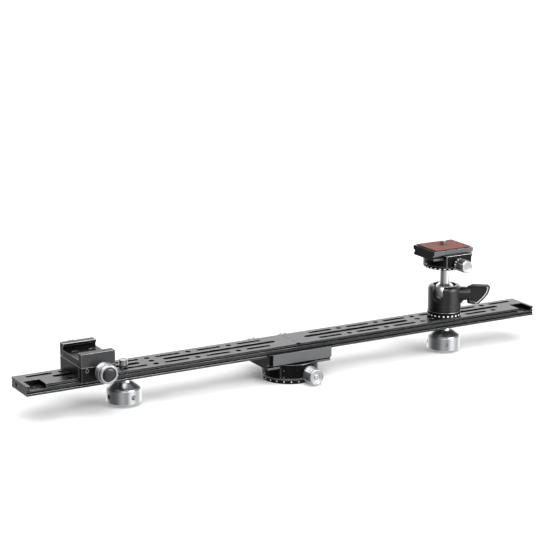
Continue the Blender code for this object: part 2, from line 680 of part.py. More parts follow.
# Double clamp: a base gripping the rail, a deck with its own jaw, and the knobs of both
def make_carriage():
    frame_at = frame("carriage_frame", (CARRIAGE_X, 0, RAIL_TOP))
    base_low = GAP
    base_top = base_low + CARRIAGE_BASE_HEIGHT
    lip_low = -RAIL_LIP
    far = JAW_FACE + CARRIAGE_WALL
    outline = [
        (-BODY_FACE, base_low), (JAW_FACE, base_low), *grip(1, 0, -1, RAIL_REACH),
        (far, lip_low), (far, base_top), (-BODY_FACE, base_top)]
    mesh = prism("carriage_base", outline, CARRIAGE_LENGTH, "X")
    base = piece("carriage_base", mesh, "grey_anodised", frame_at)
    front = -(JAW_FACE + CARRIAGE_JAW_THICK)
    outline = [
        (-JAW_FACE, base_top), *grip(-1, 0, -1, RAIL_REACH), (front, lip_low), (front, base_top)]
    mesh = prism("carriage_jaw", outline, CARRIAGE_LENGTH, "X")
    jaw = piece("carriage_jaw", mesh, "black_anodised", frame_at)
    face = front - GAP
    bore = CARRIAGE_SCREW_RADIUS + GAP
    screw_end = -BODY_FACE + SCREW_REACH
    at = (CARRIAGE_KNOB_X, 0, CARRIAGE_KNOB_LIFT)
    bar = round_bar(
        "carriage_screw", CARRIAGE_SCREW_RADIUS, (0, face - KNOB_SOCKET + GAP, 0), (0, screw_end, 0), "Y")
    piece("carriage_screw", bar, "steel", frame_at, at)
    hole = round_bar(
        "carriage_hole", bore, (at[0], front - LAP, at[2]), (at[0], screw_end + GAP, at[2]), "Y")
    stop_end = -JAW_FACE - GAP
    stop_bar = round_bar("stop_screw", STOP_SCREW_RADIUS, (0, front, 0), (0, stop_end, 0), "Y")
    piece("stop_screw", stop_bar, "steel", frame_at, (STOP_SCREW_X, 0, STOP_SCREW_LIFT))
    stop_hole = round_bar(
        "stop_hole", STOP_SCREW_RADIUS + GAP, (STOP_SCREW_X, front - LAP, STOP_SCREW_LIFT),
        (STOP_SCREW_X, -HALF_WIDTH, STOP_SCREW_LIFT), "Y")
    cut(base, tool("carriage_bore", hole, frame_at))
    cut(jaw, tool("carriage_drill", joined("carriage_drill", [hole, stop_hole]), frame_at))
    length = CARRIAGE_KNOB_LENGTH
    cap_seat = length - CARRIAGE_CAP_DEPTH
    socket = cap_seat - 2 * LAP
    profile = [
        (0, cap_seat), (CARRIAGE_CAP_RADIUS + GAP, cap_seat), (CARRIAGE_CAP_RADIUS + GAP, length),
        (CARRIAGE_KNOB_RADIUS - KNOB_EDGE, length), (CARRIAGE_KNOB_RADIUS, length - KNOB_EDGE),
        (CARRIAGE_KNOB_RADIUS, KNOB_EDGE), (CARRIAGE_KNOB_RADIUS - KNOB_EDGE, 0), (bore, 0),
        (bore, socket), (0, socket)]
    knob_at = (CARRIAGE_KNOB_X, face, CARRIAGE_KNOB_LIFT)
    turned("carriage_knob", profile, "satin_silver", SEGMENTS_LARGE,
           parent=frame_at, location=knob_at, facing="near")
    cap_low = cap_seat + GAP
    cap = [
        (0, length + CARRIAGE_CAP_DOME), (CARRIAGE_CAP_RADIUS / 2, length + CARRIAGE_CAP_CROWN),
        (CARRIAGE_CAP_RADIUS, length), (CARRIAGE_CAP_RADIUS, cap_low), (0, cap_low)]
    turned("carriage_knob_cap", cap, "black_plastic", parent=frame_at, location=knob_at, facing="near")
    make_deck(frame_at, base, base_top, far)


def make_deck(frame_at, base, base_top, far):
    low = base_top + GAP
    floor = low + DECK_HEIGHT
    top = floor + GAP + DECK_LIP_TOP
    front = -(JAW_FACE + CARRIAGE_JAW_THICK)
    near_lip = grip(-1, floor + GAP, 1, CLAMP_REACH)
    outline = [
        (BODY_FACE, low), (front, low), (front, top), (near_lip[1][0], top), *near_lip[::-1],
        (-JAW_FACE, floor), (BODY_FACE, floor)]
    mesh = prism("carriage_deck", outline, CARRIAGE_LENGTH, "X")
    deck = piece("carriage_deck", mesh, "grey_anodised", frame_at)
    far_lip = grip(1, floor + GAP, 1, CLAMP_REACH)
    outline = [(JAW_FACE, low + GAP), *far_lip, (far_lip[1][0], top), (far, top), (far, low + GAP)]
    jaw = piece("deck_jaw", prism("deck_jaw", outline, CARRIAGE_LENGTH, "X"), "black_anodised", frame_at)
    height = low + DECK_SCREW_LIFT
    bore = DECK_SCREW_RADIUS + GAP
    face = far + GAP
    screw_start = BODY_FACE - SCREW_REACH
    screw_end = face + KNOB_SOCKET - GAP
    bar = round_bar("deck_screw", DECK_SCREW_RADIUS, (0, screw_start, 0), (0, screw_end, 0), "Y")
    piece("deck_screw", bar, "steel", frame_at, (0, 0, height))
    holes = [round_bar("deck_hole", bore, (0, screw_start - GAP, height), (0, far + LAP, height), "Y")]
    for side, label in ((-1, "left"), (1, "right")):
        at = side * DECK_PIN_X
        start = BODY_FACE - PIN_REACH
        end = JAW_FACE + PIN_REACH
        bar = round_bar(f"deck_pin_{label}", DECK_PIN_RADIUS, (0, start, 0), (0, end, 0), "Y")
        piece(f"deck_pin_{label}", bar, "steel", frame_at, (at, 0, height))
        holes.append(round_bar(
            f"deck_pin_hole_{label}", DECK_PIN_RADIUS + GAP, (at, start - GAP, height),
            (at, end + GAP, height), "Y"))
    drill = tool("deck_drill", joined("deck_drill", holes), frame_at)
    cut(deck, drill)
    cut(jaw, drill)
    knob("deck_knob", "satin_silver", DECK_KNOB_RADIUS, DECK_KNOB_LENGTH, bore,
         parent=frame_at, location=(0, face, height), facing="far")
    head_low = floor - BOLT_SINK - CARRIAGE_BOLT_HEAD_HEIGHT
    tip = head_low - CARRIAGE_BOLT_LENGTH
    meshes = []
    for side, label in ((-1, "left"), (1, "right")):
        at = (side * CARRIAGE_BOLT_X, CARRIAGE_BOLT_Y, 0)
        profile = [
            (0, floor - BOLT_SINK), (CARRIAGE_BOLT_HEAD, floor - BOLT_SINK), (CARRIAGE_BOLT_HEAD, head_low),
            (CARRIAGE_BOLT_RADIUS, head_low), (CARRIAGE_BOLT_RADIUS, tip), (0, tip)]
        turned(f"carriage_bolt_{label}", profile, "steel", SEGMENTS_SMALL, parent=frame_at, location=at)
        head_bore = CARRIAGE_BOLT_HEAD + GAP
        shank_bore = CARRIAGE_BOLT_RADIUS + GAP
        well = [
            (0, floor + LAP), (head_bore, floor + LAP), (head_bore, head_low - GAP),
            (shank_bore, head_low - GAP), (shank_bore, tip - GAP), (0, tip - GAP)]
        meshes.append(turned(
            f"carriage_bolt_well_{label}", well, segments=SEGMENTS_SMALL, parent=frame_at, location=at))
    cut(deck, *meshes)
    cut(base, *meshes)


# Thumbscrews: washer, knob with tommy-bar holes and a screw through the middle slot
def make_thumbscrew(label, at, turn, shank_top):
    frame_at = frame(f"thumb_axis_{label}", (at, 0, 0))
    washer_top = RAIL_BOTTOM - GAP
    washer_low = washer_top - THUMB_WASHER_THICK
    bore = THUMB_SHANK_RADIUS + GAP
    profile = [
        (bore, washer_top), (THUMB_WASHER_RADIUS, washer_top),
        (THUMB_WASHER_RADIUS, washer_low), (bore, washer_low)]
    turned(f"thumb_washer_{label}", profile, "steel", closed=True, parent=frame_at)
    neck = washer_low - GAP
    cone = neck - THUMB_NECK_HEIGHT
    grip_top = cone - THUMB_CONE_HEIGHT
    low = grip_top - THUMB_GRIP_HEIGHT
    seat = neck - THUMB_SHANK_SEAT
    profile = [
        (0, seat), (bore, seat), (bore, neck), (THUMB_NECK_RADIUS, neck), (THUMB_NECK_RADIUS, cone),
        (THUMB_RADIUS - THUMB_SHOULDER, grip_top), (THUMB_RADIUS, grip_top - THUMB_SHOULDER),
        (THUMB_RADIUS, low + KNOB_EDGE), (THUMB_RADIUS - KNOB_EDGE, low), (0, low)]
    body = turned(f"thumb_knob_{label}", profile, "satin_silver", SEGMENTS_LARGE, parent=frame_at, turn=turn)
    middle = (grip_top + low) / 2
    inner = THUMB_RADIUS - THUMB_BAR_DEPTH
    outer = THUMB_RADIUS + LAP
    bars = [
        round_bar("bar_hole", THUMB_BAR_RADIUS, (inner, 0, middle), (outer, 0, middle), "X"),
        round_bar("bar_hole", THUMB_BAR_RADIUS, (-outer, 0, middle), (-inner, 0, middle), "X"),
        round_bar("bar_hole", THUMB_BAR_RADIUS, (0, inner, middle), (0, outer, middle), "Y"),
        round_bar("bar_hole", THUMB_BAR_RADIUS, (0, -outer, middle), (0, -inner, middle), "Y")]
    cut(body, tool(f"thumb_bars_{label}", joined(f"thumb_bars_{label}", bars), frame_at, turn=turn))
    shank = round_bar(
        f"thumb_shank_{label}", THUMB_SHANK_RADIUS, (0, 0, seat + GAP), (0, 0, shank_top))
    piece(f"thumb_shank_{label}", shank, "steel", frame_at)
    return frame_at


def make_thumbscrews():
    bush_low = RAIL_TOP + GAP
    bush_top = bush_low + BUSH_HEIGHT
    frame_at = make_thumbscrew("left", THUMB_LEFT_X, THUMB_LEFT_TURN, bush_top - GAP)
    bore = THUMB_SHANK_RADIUS + GAP
    profile = [(bore, bush_top), (BUSH_RADIUS, bush_top), (BUSH_RADIUS, bush_low), (bore, bush_low)]
    turned("thumb_bush_left", profile, "steel", closed=True, parent=frame_at)
    make_thumbscrew("right", HEAD_X, THUMB_RIGHT_TURN, RAIL_TOP + HEAD_SHANK_DEPTH - GAP)


# Ball head: index ring, housing with its notch and lock, ball and stem
def make_head():
    frame_at = frame("head_axis", (HEAD_X, 0, RAIL_TOP))
    ring_low = GAP
    ring_top = ring_low + HEAD_RING_HEIGHT
    housing_low = ring_top + GAP
    nut_top = BALL_HEIGHT - CUP_DROP - 2 * GAP
    nut_low = nut_top - HEAD_NUT_THICK
    ledge = nut_low - GAP
    bore = THUMB_SHANK_RADIUS + GAP
    profile = [
        (0, nut_top), (HEAD_HUB_RADIUS, nut_top), (HEAD_HUB_RADIUS, ring_top), (HEAD_RING_RADIUS, ring_top),
        (HEAD_RING_RADIUS, ring_low), (bore, ring_low), (bore, HEAD_SHANK_DEPTH), (0, HEAD_SHANK_DEPTH)]
    turned("head_base_ring", profile, "black_anodised", SEGMENTS_LARGE, parent=frame_at)
    profile = [
        (HEAD_HUB_RADIUS + GAP, nut_top), (HEAD_NUT_RADIUS, nut_top),
        (HEAD_NUT_RADIUS, nut_low), (HEAD_HUB_RADIUS + GAP, nut_low)]
    turned("head_pan_nut", profile, "steel", closed=True, parent=frame_at)
    make_housing(frame_at, housing_low, ledge, nut_top)
    make_ball(frame_at)


def make_housing(frame_at, low, ledge, nut_top):
    top = BALL_HEIGHT + HOUSING_RISE
    cavity = BALL_RADIUS + BALL_CLEARANCE
    capture = arc((0, BALL_HEIGHT), cavity, 0, BALL_CAPTURE, 3)
    mouth = HOUSING_RADIUS - HOUSING_ROUND
    rounded = arc((mouth, top - HOUSING_ROUND), HOUSING_ROUND, math.pi / 2, 0)
    profile = [(0, top), *rounded, (HOUSING_RADIUS, low), (0, low)]
    housing = turned("head_housing", profile, "black_anodised", SEGMENTS_LARGE, parent=frame_at)
    rod = round_bar(
        "lock_boss", BOSS_RADIUS, (BALL_RADIUS / 2, 0, BALL_HEIGHT), (BOSS_REACH, 0, BALL_HEIGHT), "X",
        SEGMENTS_MEDIUM)
    inside = HOUSING_RADIUS - 2 * LAP
    web_end = BOSS_REACH - LAP
    web = [
        (inside, low + WEB_FOOT), (HOUSING_RADIUS, low + WEB_FOOT), (web_end, BALL_HEIGHT - WEB_DROP),
        (web_end, BALL_HEIGHT), (inside, BALL_HEIGHT)]
    unite(housing, tool("lock_boss", rod, frame_at, turn=LOCK_BEARING))
    unite(housing, tool("lock_web", prism("lock_web", web, WEB_THICK, "Y"), frame_at, turn=LOCK_BEARING))
    cup_low = nut_top + GAP
    hollow = [
        (0, top + LAP), (mouth - HOUSING_RIM, top + LAP), *capture[::-1],
        (cavity, cup_low), (HEAD_NUT_RADIUS + GAP, cup_low), (HEAD_NUT_RADIUS + GAP, ledge),
        (HEAD_HUB_RADIUS + GAP, ledge), (HEAD_HUB_RADIUS + GAP, low - LAP), (0, low - LAP)]
    cut(housing, turned("head_hollow", hollow, segments=SEGMENTS_LARGE, parent=frame_at))
    lower_half = arc((0, BALL_HEIGHT), NOTCH_RADIUS, math.pi, math.tau, 8)
    notch = [*lower_half, (NOTCH_RADIUS, top + LAP), (-NOTCH_RADIUS, top + LAP)]
    reach = HOUSING_RADIUS + LAP
    slot = prism("head_notch", notch, reach, "Y", reach / 2)
    cut(housing, tool("head_notch", slot, frame_at, turn=NOTCH_BEARING + math.pi / 2))
    drill = round_bar(
        "lock_bore", LOCK_BORE, (BALL_RADIUS - LAP, 0, BALL_HEIGHT), (BOSS_REACH + LAP, 0, BALL_HEIGHT), "X")
    cut(housing, tool("lock_bore", drill, frame_at, turn=LOCK_BEARING))
    rest = BALL_RADIUS + GAP
    rim_angle = -math.asin(NOTCH_RADIUS / rest)
    bore_angle = -math.acos(CUP_BORE / rest)
    seat = arc((0, BALL_HEIGHT), rest, bore_angle, rim_angle)
    outer = cavity - GAP
    cup = [(outer, seat[-1][1]), (outer, cup_low + GAP), (CUP_BORE, cup_low + GAP), *seat]
    turned("ball_cup", cup, "acetal", closed=True, parent=frame_at)
    make_lock(frame_at)


def make_lock(frame_at):
    radius = LOCK_BORE - GAP
    start = BALL_RADIUS + BALL_CLEARANCE
    end = start + PLUNGER_LENGTH
    height = BALL_HEIGHT
    plunger = round_bar("lock_plunger", radius, (start, 0, 0), (end, 0, 0), "X")
    piece("lock_plunger", plunger, "brass", frame_at, (0, 0, height), turn=LOCK_BEARING)
    hub_start = BOSS_REACH + GAP
    socket_end = hub_start + LEVER_SOCKET
    screw = round_bar("lock_screw", radius, (end + GAP, 0, 0), (socket_end - GAP, 0, 0), "X")
    piece("lock_screw", screw, "steel", frame_at, (0, 0, height), turn=LOCK_BEARING)
    wing_start = hub_start + LEVER_HUB_LENGTH - LAP
    wing_end = wing_start + LEVER_LENGTH
    root = LEVER_HUB_RADIUS - LAP
    blade = [
        (wing_start, root), (wing_start + LEVER_SHOULDER, LEVER_SPAN_UP), (wing_end, LEVER_SPAN_UP),
        (wing_end, LEVER_SPAN_UP - LEVER_TIP_DEPTH), (wing_start + LEVER_CROTCH, 0),
        (wing_start + LEVER_FOOT, -LEVER_SPAN_DOWN), (hub_start + GAP, -LEVER_SPAN_DOWN),
        (hub_start + GAP, -LEVER_SPAN_DOWN + LEVER_THICK / 2), (wing_start, -root)]
    hub = round_bar(
        "lock_lever", LEVER_HUB_RADIUS, (hub_start, 0, 0), (wing_start + 2 * LAP, 0, 0), "X", SEGMENTS_MEDIUM)
    lever = piece("lock_lever", hub, "black_anodised", frame_at, (0, 0, height), turn=LOCK_BEARING)
    wing = prism("lever_wing", blade, LEVER_THICK, "Y")
    unite(lever, tool("lever_wing", wing, frame_at, (0, 0, height), turn=LOCK_BEARING))
    socket = round_bar("lever_socket", LOCK_BORE, (hub_start - LAP, 0, 0), (socket_end, 0, 0), "X")
    cut(lever, tool("lever_socket", socket, frame_at, (0, 0, height), turn=LOCK_BEARING))


def make_ball(frame_at):
    spigot_top = STEM_TOP + GAP + TOP_RING_HEIGHT + GAP + TOP_LEDGE
    bore = TOP_HEAD_SHANK + GAP
    floor = spigot_top - TOP_HEAD_SHANK_LENGTH - GAP
    meet = math.acos(STEM_RADIUS / BALL_RADIUS)
    sphere = arc((0, 0), BALL_RADIUS, meet, -math.pi / 2, 10)
    sphere[-1] = (0, -BALL_RADIUS)
    lift = BALL_HEIGHT
    profile = [
        (0, floor - lift), (bore, floor - lift), (bore, spigot_top - lift),
        (SPIGOT_RADIUS, spigot_top - lift), (SPIGOT_RADIUS, STEM_TOP - lift),
        (STEM_RADIUS, STEM_TOP - lift), *sphere]
    turned("ball", profile, "satin_silver", parent=frame_at, location=(0, 0, lift))
    make_top_clamp(frame_at, spigot_top)


# Small panning clamp on the stem, with the release plate that it holds
def make_top_clamp(frame_at, spigot_top):
    ring_low = STEM_TOP + GAP
    ring_top = ring_low + TOP_RING_HEIGHT
    bore = SPIGOT_RADIUS + GAP
    profile = [(bore, ring_top), (TOP_RADIUS, ring_top), (TOP_RADIUS, ring_low), (bore, ring_low)]
    turned("top_index_ring", profile, "black_anodised", SEGMENTS_LARGE, closed=True, parent=frame_at)
    low = ring_top + GAP
    floor = low + TOP_BODY_HEIGHT
    ledge = spigot_top
    counterbore = TOP_HEAD_RADIUS + GAP
    top = floor + GAP + TOP_LIP_TOP
    profile = [
        (counterbore, top), (TOP_RADIUS, top), (TOP_RADIUS, low),
        (bore, low), (bore, ledge), (counterbore, ledge)]
    body = turned("top_clamp_body", profile, "black_anodised", SEGMENTS_LARGE, closed=True, parent=frame_at)
    beyond = TOP_RADIUS + LAP
    lip = grip(1, floor + GAP, 1, CLAMP_REACH)
    channel = [(-beyond, floor), (JAW_FACE, floor), *lip, (lip[1][0], top + LAP), (-beyond, top + LAP)]
    cut(body, tool("top_channel", prism("top_channel", channel, 2 * beyond, "X"), frame_at))
    flat = box("top_flat", (-beyond, -beyond, low - LAP), (beyond, -BODY_FACE, floor + LAP))
    cut(body, tool("top_flat", flat, frame_at))
    head_low = ledge + GAP
    head_top = head_low + TOP_HEAD_HEIGHT
    tip = spigot_top - TOP_HEAD_SHANK_LENGTH
    profile = [
        (0, head_top), (TOP_HEAD_RADIUS, head_top), (TOP_HEAD_RADIUS, head_low),
        (TOP_HEAD_SHANK, head_low), (TOP_HEAD_SHANK, tip), (0, tip)]
    turned("top_pan_screw", profile, "steel", parent=frame_at)
    near_lip = grip(-1, floor + GAP, 1, CLAMP_REACH)
    front = -(JAW_FACE + TOP_JAW_THICK)
    outline = [
        (-JAW_FACE, low + GAP), *near_lip, (near_lip[1][0], top), (front, top), (front, low + GAP)]
    jaw = piece("top_jaw", prism("top_jaw", outline, TOP_JAW_LENGTH, "X"), "black_anodised", frame_at)
    height = low + TOP_KNOB_LIFT
    bore = TOP_SCREW_RADIUS + GAP
    face = front - GAP
    screw_end = -BODY_FACE + SCREW_REACH
    bar = round_bar(
        "top_screw", TOP_SCREW_RADIUS, (0, face - KNOB_SOCKET + GAP, 0), (0, screw_end, 0), "Y")
    piece("top_screw", bar, "steel", frame_at, (0, 0, height))
    hole = round_bar("top_drill", bore, (0, front - LAP, height), (0, screw_end + GAP, height), "Y")
    drill = tool("top_drill", hole, frame_at)
    cut(body, drill)
    cut(jaw, drill)
    knob("top_knob", "satin_silver", TOP_KNOB_RADIUS, TOP_KNOB_LENGTH, bore,
         parent=frame_at, location=(0, face, height), facing="near")
    make_plate(frame_at, floor + GAP)


def make_plate(head_frame, low):
    frame_at = frame("plate_frame", (PLATE_X, 0, low), head_frame)
    waist = HALF_WIDTH - FLANGE_SLOPE
    shoulder = FLANGE_HEIGHT
    neck = shoulder + FLANGE_SLOPE
    under = FOOT_NECK
    top = under + PLATE_SLAB
    right = [
        (HALF_WIDTH, 0), (HALF_WIDTH, shoulder), (waist, neck), (waist, under),
        (PLATE_WIDTH / 2, under - GROOVE_DRAFT), (PLATE_WIDTH / 2, top)]
    outline = right + [(-y, z) for y, z in reversed(right)]
    mesh = prism("release_plate", outline, PLATE_LENGTH, "X")
    plate = piece("release_plate", mesh, "black_anodised", frame_at)
    bore = PLATE_SCREW_RADIUS + GAP
    well_radius = PLATE_SCREW_HEAD + GAP
    pad_low = top + GAP
    pad_top = pad_low + PAD_THICK
    head_top = PLATE_RECESS - GAP
    head_low = head_top - PLATE_SCREW_HEAD_HEIGHT
    tip = pad_top + PLATE_SCREW_STAND
    well = [
        (0, pad_top + LAP), (bore, pad_top + LAP), (bore, PLATE_RECESS), (well_radius, PLATE_RECESS),
        (well_radius, -LAP), (0, -LAP)]
    drill = turned("plate_well", well, parent=frame_at)
    cut(plate, drill)
    length = PLATE_LENGTH - 2 * PAD_MARGIN
    half = PLATE_WIDTH / 2 - PAD_MARGIN
    sheet = box("plate_pad", (-length / 2, -half, pad_low), (length / 2, half, pad_top))
    cut(piece("plate_pad", sheet, "brown_rubber", frame_at), drill)
    profile = [
        (0, tip), (PLATE_SCREW_RADIUS, tip), (PLATE_SCREW_RADIUS, head_top), (PLATE_SCREW_HEAD, head_top),
        (PLATE_SCREW_HEAD, head_low), (0, head_low)]
    turned("plate_screw", profile, "steel", parent=frame_at)


make_base()
make_pan_clamp()
make_coupling()
make_rails()
make_carriage()
make_thumbscrews()
make_head()
bpy.context.view_layer.update()
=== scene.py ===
# %% [markdown]
# # Dressing a modular camera rail
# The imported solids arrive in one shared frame: metres, +X along the rail, -Y towards the clamp knobs, +Z up.
# They stay where they are. Each step below takes one piece, models the edges, knurls, teeth and threads that
# the real one has, and gives it a finish built from nodes.

# %% Load the frame
import math

import bmesh
import bpy
from mathutils import Matrix, Vector


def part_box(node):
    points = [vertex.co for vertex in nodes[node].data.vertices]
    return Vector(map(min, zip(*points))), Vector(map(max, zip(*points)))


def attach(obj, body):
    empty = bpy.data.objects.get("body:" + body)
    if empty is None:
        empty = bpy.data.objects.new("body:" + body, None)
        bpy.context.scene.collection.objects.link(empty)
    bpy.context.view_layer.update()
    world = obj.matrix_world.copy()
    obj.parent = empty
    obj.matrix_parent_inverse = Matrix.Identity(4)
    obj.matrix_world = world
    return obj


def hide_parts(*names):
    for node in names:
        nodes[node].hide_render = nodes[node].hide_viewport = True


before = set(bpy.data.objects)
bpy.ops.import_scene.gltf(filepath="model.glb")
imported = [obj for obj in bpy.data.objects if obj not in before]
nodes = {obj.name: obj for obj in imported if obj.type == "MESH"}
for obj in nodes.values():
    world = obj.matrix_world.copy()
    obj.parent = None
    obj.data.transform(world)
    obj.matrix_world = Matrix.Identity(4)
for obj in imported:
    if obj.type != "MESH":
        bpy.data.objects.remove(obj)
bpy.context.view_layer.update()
MM = 0.001

# %% [markdown]
# ## Two helpers for node trees
# Colours are written as the sRGB codes that a colour picker shows, and shaders work in linear light, so one
# function turns the first into the second. The other adds a node, sets it and feeds its inputs in one call,
# which keeps every finish short enough to read.

# %% Node helpers
def colour(code):
    """Turns an sRGB code such as 'C0C0C0' into linear RGBA."""
    parts = [int(code[i:i + 2], 16) / 255 for i in (0, 2, 4)]
    linear = [p / 12.92 if p <= 0.04045 else ((p + 0.055) / 1.055) ** 2.4 for p in parts]
    return (*linear, 1.0)


def add(tree, kind, inputs=None, **settings):
    """Adds one node, applies its settings and feeds its inputs: a socket is linked, a value is set."""
    node = tree.nodes.new(kind)
    for name, value in settings.items():
        setattr(node, name, value)
    for name, value in (inputs or {}).items():
        if isinstance(value, bpy.types.NodeSocket):
            tree.links.new(value, node.inputs[name])
        else:
            node.inputs[name].default_value = value
    return node


# %% [markdown]
# ## Camera
# The photograph was taken with a long lens from the left and a little above. A camera fitted to the rail's
# corners, seam and slots gives the place, the target and the focal length below.

# %% Camera
camera_data = bpy.data.cameras.new("photo_camera")
camera_data.sensor_width = 36
camera_data.lens = 123.8
camera = bpy.data.objects.new("photo_camera", camera_data)
camera.location = (-0.9313, -1.5986, 0.5715)
target = Vector((-0.0232, 0, 0.1165))
camera.rotation_euler = (target - camera.location).to_track_quat("-Z", "Y").to_euler()
bpy.context.scene.collection.objects.link(camera)
bpy.context.scene.camera = camera
print(f"camera {(target - camera.location).length:.2f} m from its target")

# %% [markdown]
# ## Light and floor
# Metal shows what is around it, so the room matters more than any lamp. Seen from above, the room is a ring
# of bright and dark walls: bright behind the object and at the right front, dark on the viewer's side. A
# radial gradient gives the angle round the object and a colour ramp gives the wall its brightness there.
# The ceiling is darker. A wide sun evens out the paper, and a low panel at the right front lights the near
# faces. The object was photographed high above any floor, so the metal doesn't mirror the paper, only the
# room.

# %% Light and floor
scene = bpy.context.scene
scene.view_settings.view_transform = "Standard"
world = bpy.data.worlds.new("white_room")
world.use_nodes = True
scene.world = world
room = world.node_tree
look = add(room, "ShaderNodeTexCoord").outputs["Generated"]
around = add(room, "ShaderNodeTexGradient", {"Vector": look}, gradient_type="RADIAL").outputs["Fac"]
walls = add(room, "ShaderNodeValToRGB", {"Fac": around})
stops = [
    (0.0, 0.04), (0.069, 0.05), (0.14, 0.19), (0.19, 0.19), (0.25, 0.06), (0.30, 0.38), (0.35, 0.46),
    (0.40, 0.30), (0.46, 0.2), (0.55, 0.46), (0.62, 0.66), (0.72, 0.66), (0.80, 0.24), (0.917, 0.04),
    (1.0, 0.04)]
ramp = walls.color_ramp.elements
while len(ramp) < len(stops):
    ramp.new(0.5)
for element, (at, level) in zip(ramp, stops):
    element.position = at
    element.color = (level, level, level, 1)
rise = add(room, "ShaderNodeSeparateXYZ", {"Vector": look}).outputs["Z"]
glow = add(room, "ShaderNodeMapRange", {
    "Value": rise, "From Min": 0.3, "From Max": 0.8, "To Min": 3.0, "To Max": 1.0})
room.links.new(glow.outputs["Result"], room.nodes["Background"].inputs["Strength"])
room.links.new(walls.outputs["Color"], room.nodes["Background"].inputs["Color"])

sun_data = bpy.data.lights.new("wide_sun", "SUN")
sun_data.energy = 3.2
sun_data.angle = math.radians(70)
sun = bpy.data.objects.new("wide_sun", sun_data)
sun.rotation_euler = Vector((0.25, 0.45, -1)).to_track_quat("-Z", "Y").to_euler()
scene.collection.objects.link(sun)

panel_data = bpy.data.lights.new("low_panel", "AREA")
panel_data.shape = "RECTANGLE"
panel_data.size = 1.2
panel_data.size_y = 0.7
panel_data.energy = 24
panel = bpy.data.objects.new("low_panel", panel_data)
panel.location = (0.95, -1.6, 0.45)
panel.rotation_euler = (Vector((0, 0, 0.05)) - panel.location).to_track_quat("-Z", "Y").to_euler()
scene.collection.objects.link(panel)

paper = bpy.data.materials.new("white_paper")
paper.use_nodes = True
sheet = paper.node_tree
fibre = add(sheet, "ShaderNodeTexNoise", {
    "Vector": add(sheet, "ShaderNodeTexCoord").outputs["Object"], "Scale": 900.0, "Detail": 2.0})
tint = add(sheet, "ShaderNodeMix", {
    0: fibre.outputs["Fac"], 6: colour("F2F2F2"), 7: colour("F8F8F8")}, data_type="RGBA")
sheet.links.new(tint.outputs[2], sheet.nodes["Principled BSDF"].inputs["Base Color"])
sheet.nodes["Principled BSDF"].inputs["Roughness"].default_value = 0.9
sheet.nodes["Principled BSDF"].inputs["Specular IOR Level"].default_value = 0.1

floor_shape = bmesh.new()
bmesh.ops.create_grid(floor_shape, x_segments=1, y_segments=1, size=20)
floor_mesh = bpy.data.meshes.new("paper_floor")
floor_shape.to_mesh(floor_mesh)
floor_shape.free()
floor_mesh.materials.append(paper)
floor = bpy.data.objects.new("paper_floor", floor_mesh)
floor.visible_glossy = False
scene.collection.objects.link(floor)
print("paper floor, room, sun and panel in place")

# %% [markdown]
# ## Blasted and moulded finishes
# Machined aluminium is blasted with fine beads before it is anodised, and moulded plastic comes out of a
# slightly rough tool. Both scatter light a little differently from one spot to the next. The grain is about
# a tenth of a millimetre in life, too fine to show from this far, so it is drawn about a millimetre wide.

# %% Blasted and moulded finishes
def new_finish(name, code, metallic, index):
    """A material with its base colour, metallic and refraction index set on the shader."""
    finish = bpy.data.materials.new(name)
    finish.use_nodes = True
    tree = finish.node_tree
    shader = tree.nodes["Principled BSDF"]
    shader.inputs["Base Color"].default_value = colour(code)
    shader.inputs["Metallic"].default_value = metallic
    shader.inputs["IOR"].default_value = index
    return finish, tree, shader


def roughen(tree, shader, pattern, low, high, depth):
    """Lets a pattern drive the roughness from low to high and a slight relief."""
    spread = add(tree, "ShaderNodeMapRange", {
        "Value": pattern, "From Min": 0.3, "From Max": 0.7, "To Min": low, "To Max": high})
    tree.links.new(spread.outputs["Result"], shader.inputs["Roughness"])
    relief = add(tree, "ShaderNodeBump", {"Height": pattern, "Strength": 0.2, "Distance": depth})
    tree.links.new(relief.outputs["Normal"], shader.inputs["Normal"])


def blasted(name, code, low, high, metallic=0.0, index=1.5, grain=1.0 * MM):
    """A finish with a soft grain, about a millimetre wide."""
    finish, tree, shader = new_finish(name, code, metallic, index)
    place = add(tree, "ShaderNodeTexCoord").outputs["Object"]
    speck = add(tree, "ShaderNodeTexNoise", {"Vector": place, "Scale": 1 / grain, "Detail": 3.0})
    roughen(tree, shader, speck.outputs["Fac"], low, high, 0.02 * MM)
    return finish


# Black anodised aluminium. The skin is clear oxide over dye: black head on, and pale where the eye skims it.
BLACK = blasted("black_anodised_aluminium", "050506", 0.28, 0.38, index=1.25)
# The same skin on turned parts, which are blasted less and so shine more. On the deck's near faces it is a lit
# copy of the black skin: painted light.
GLOSS_AND_LIT_FACE = blasted("satin_black_anodised_and_painted_lit_face", "0A0A0B", 0.26, 0.34, index=1.62)
# Grey anodised aluminium: the same skin over a thinner dye. On the near faces of black bodies it is a lit copy
# of the black skin: painted light.
GREY_AND_LIT_FACE = blasted("grey_anodised_and_painted_lit_face", "48494C", 0.28, 0.40, index=1.6)
# A broken edge of an anodised body, painted pale: a painted highlight for the thin line of light along it.
EDGE_HIGHLIGHT = blasted("painted_edge_highlight", "B9BABD", 0.25, 0.35, metallic=0.85)
# Black acetal, a waxy plastic for the cup and the slip ring.
ACETAL = blasted("black_acetal", "1B1B1C", 0.35, 0.45, index=1.48)
# Moulded ABS: black and a little glossier than the metal.
ABS = blasted("black_abs", "101011", 0.22, 0.30, index=1.54)
# Brown rubber: dull and slightly warm.
RUBBER = blasted("brown_rubber", "7A5048", 0.75, 0.9, index=1.52, grain=0.8 * MM)
# Enamel filled into engraved marks: a clean white.
ENAMEL = blasted("white_enamel", "F0F0EE", 0.35, 0.5)
# Brass for the pad that presses on the ball.
BRASS = blasted("turned_brass", "B08D45", 0.25, 0.35, metallic=1.0)
# Pale aluminium along the lower right rim of the lever: a painted highlight where the light catches it.
RIM_HIGHLIGHT = blasted("painted_rim_highlight", "E4E5E6", 0.3, 0.4, metallic=0.5)
# Plain turned steel for pins and screws.
STEEL = blasted("bright_steel", "A8A9AB", 0.22, 0.34, metallic=1.0)
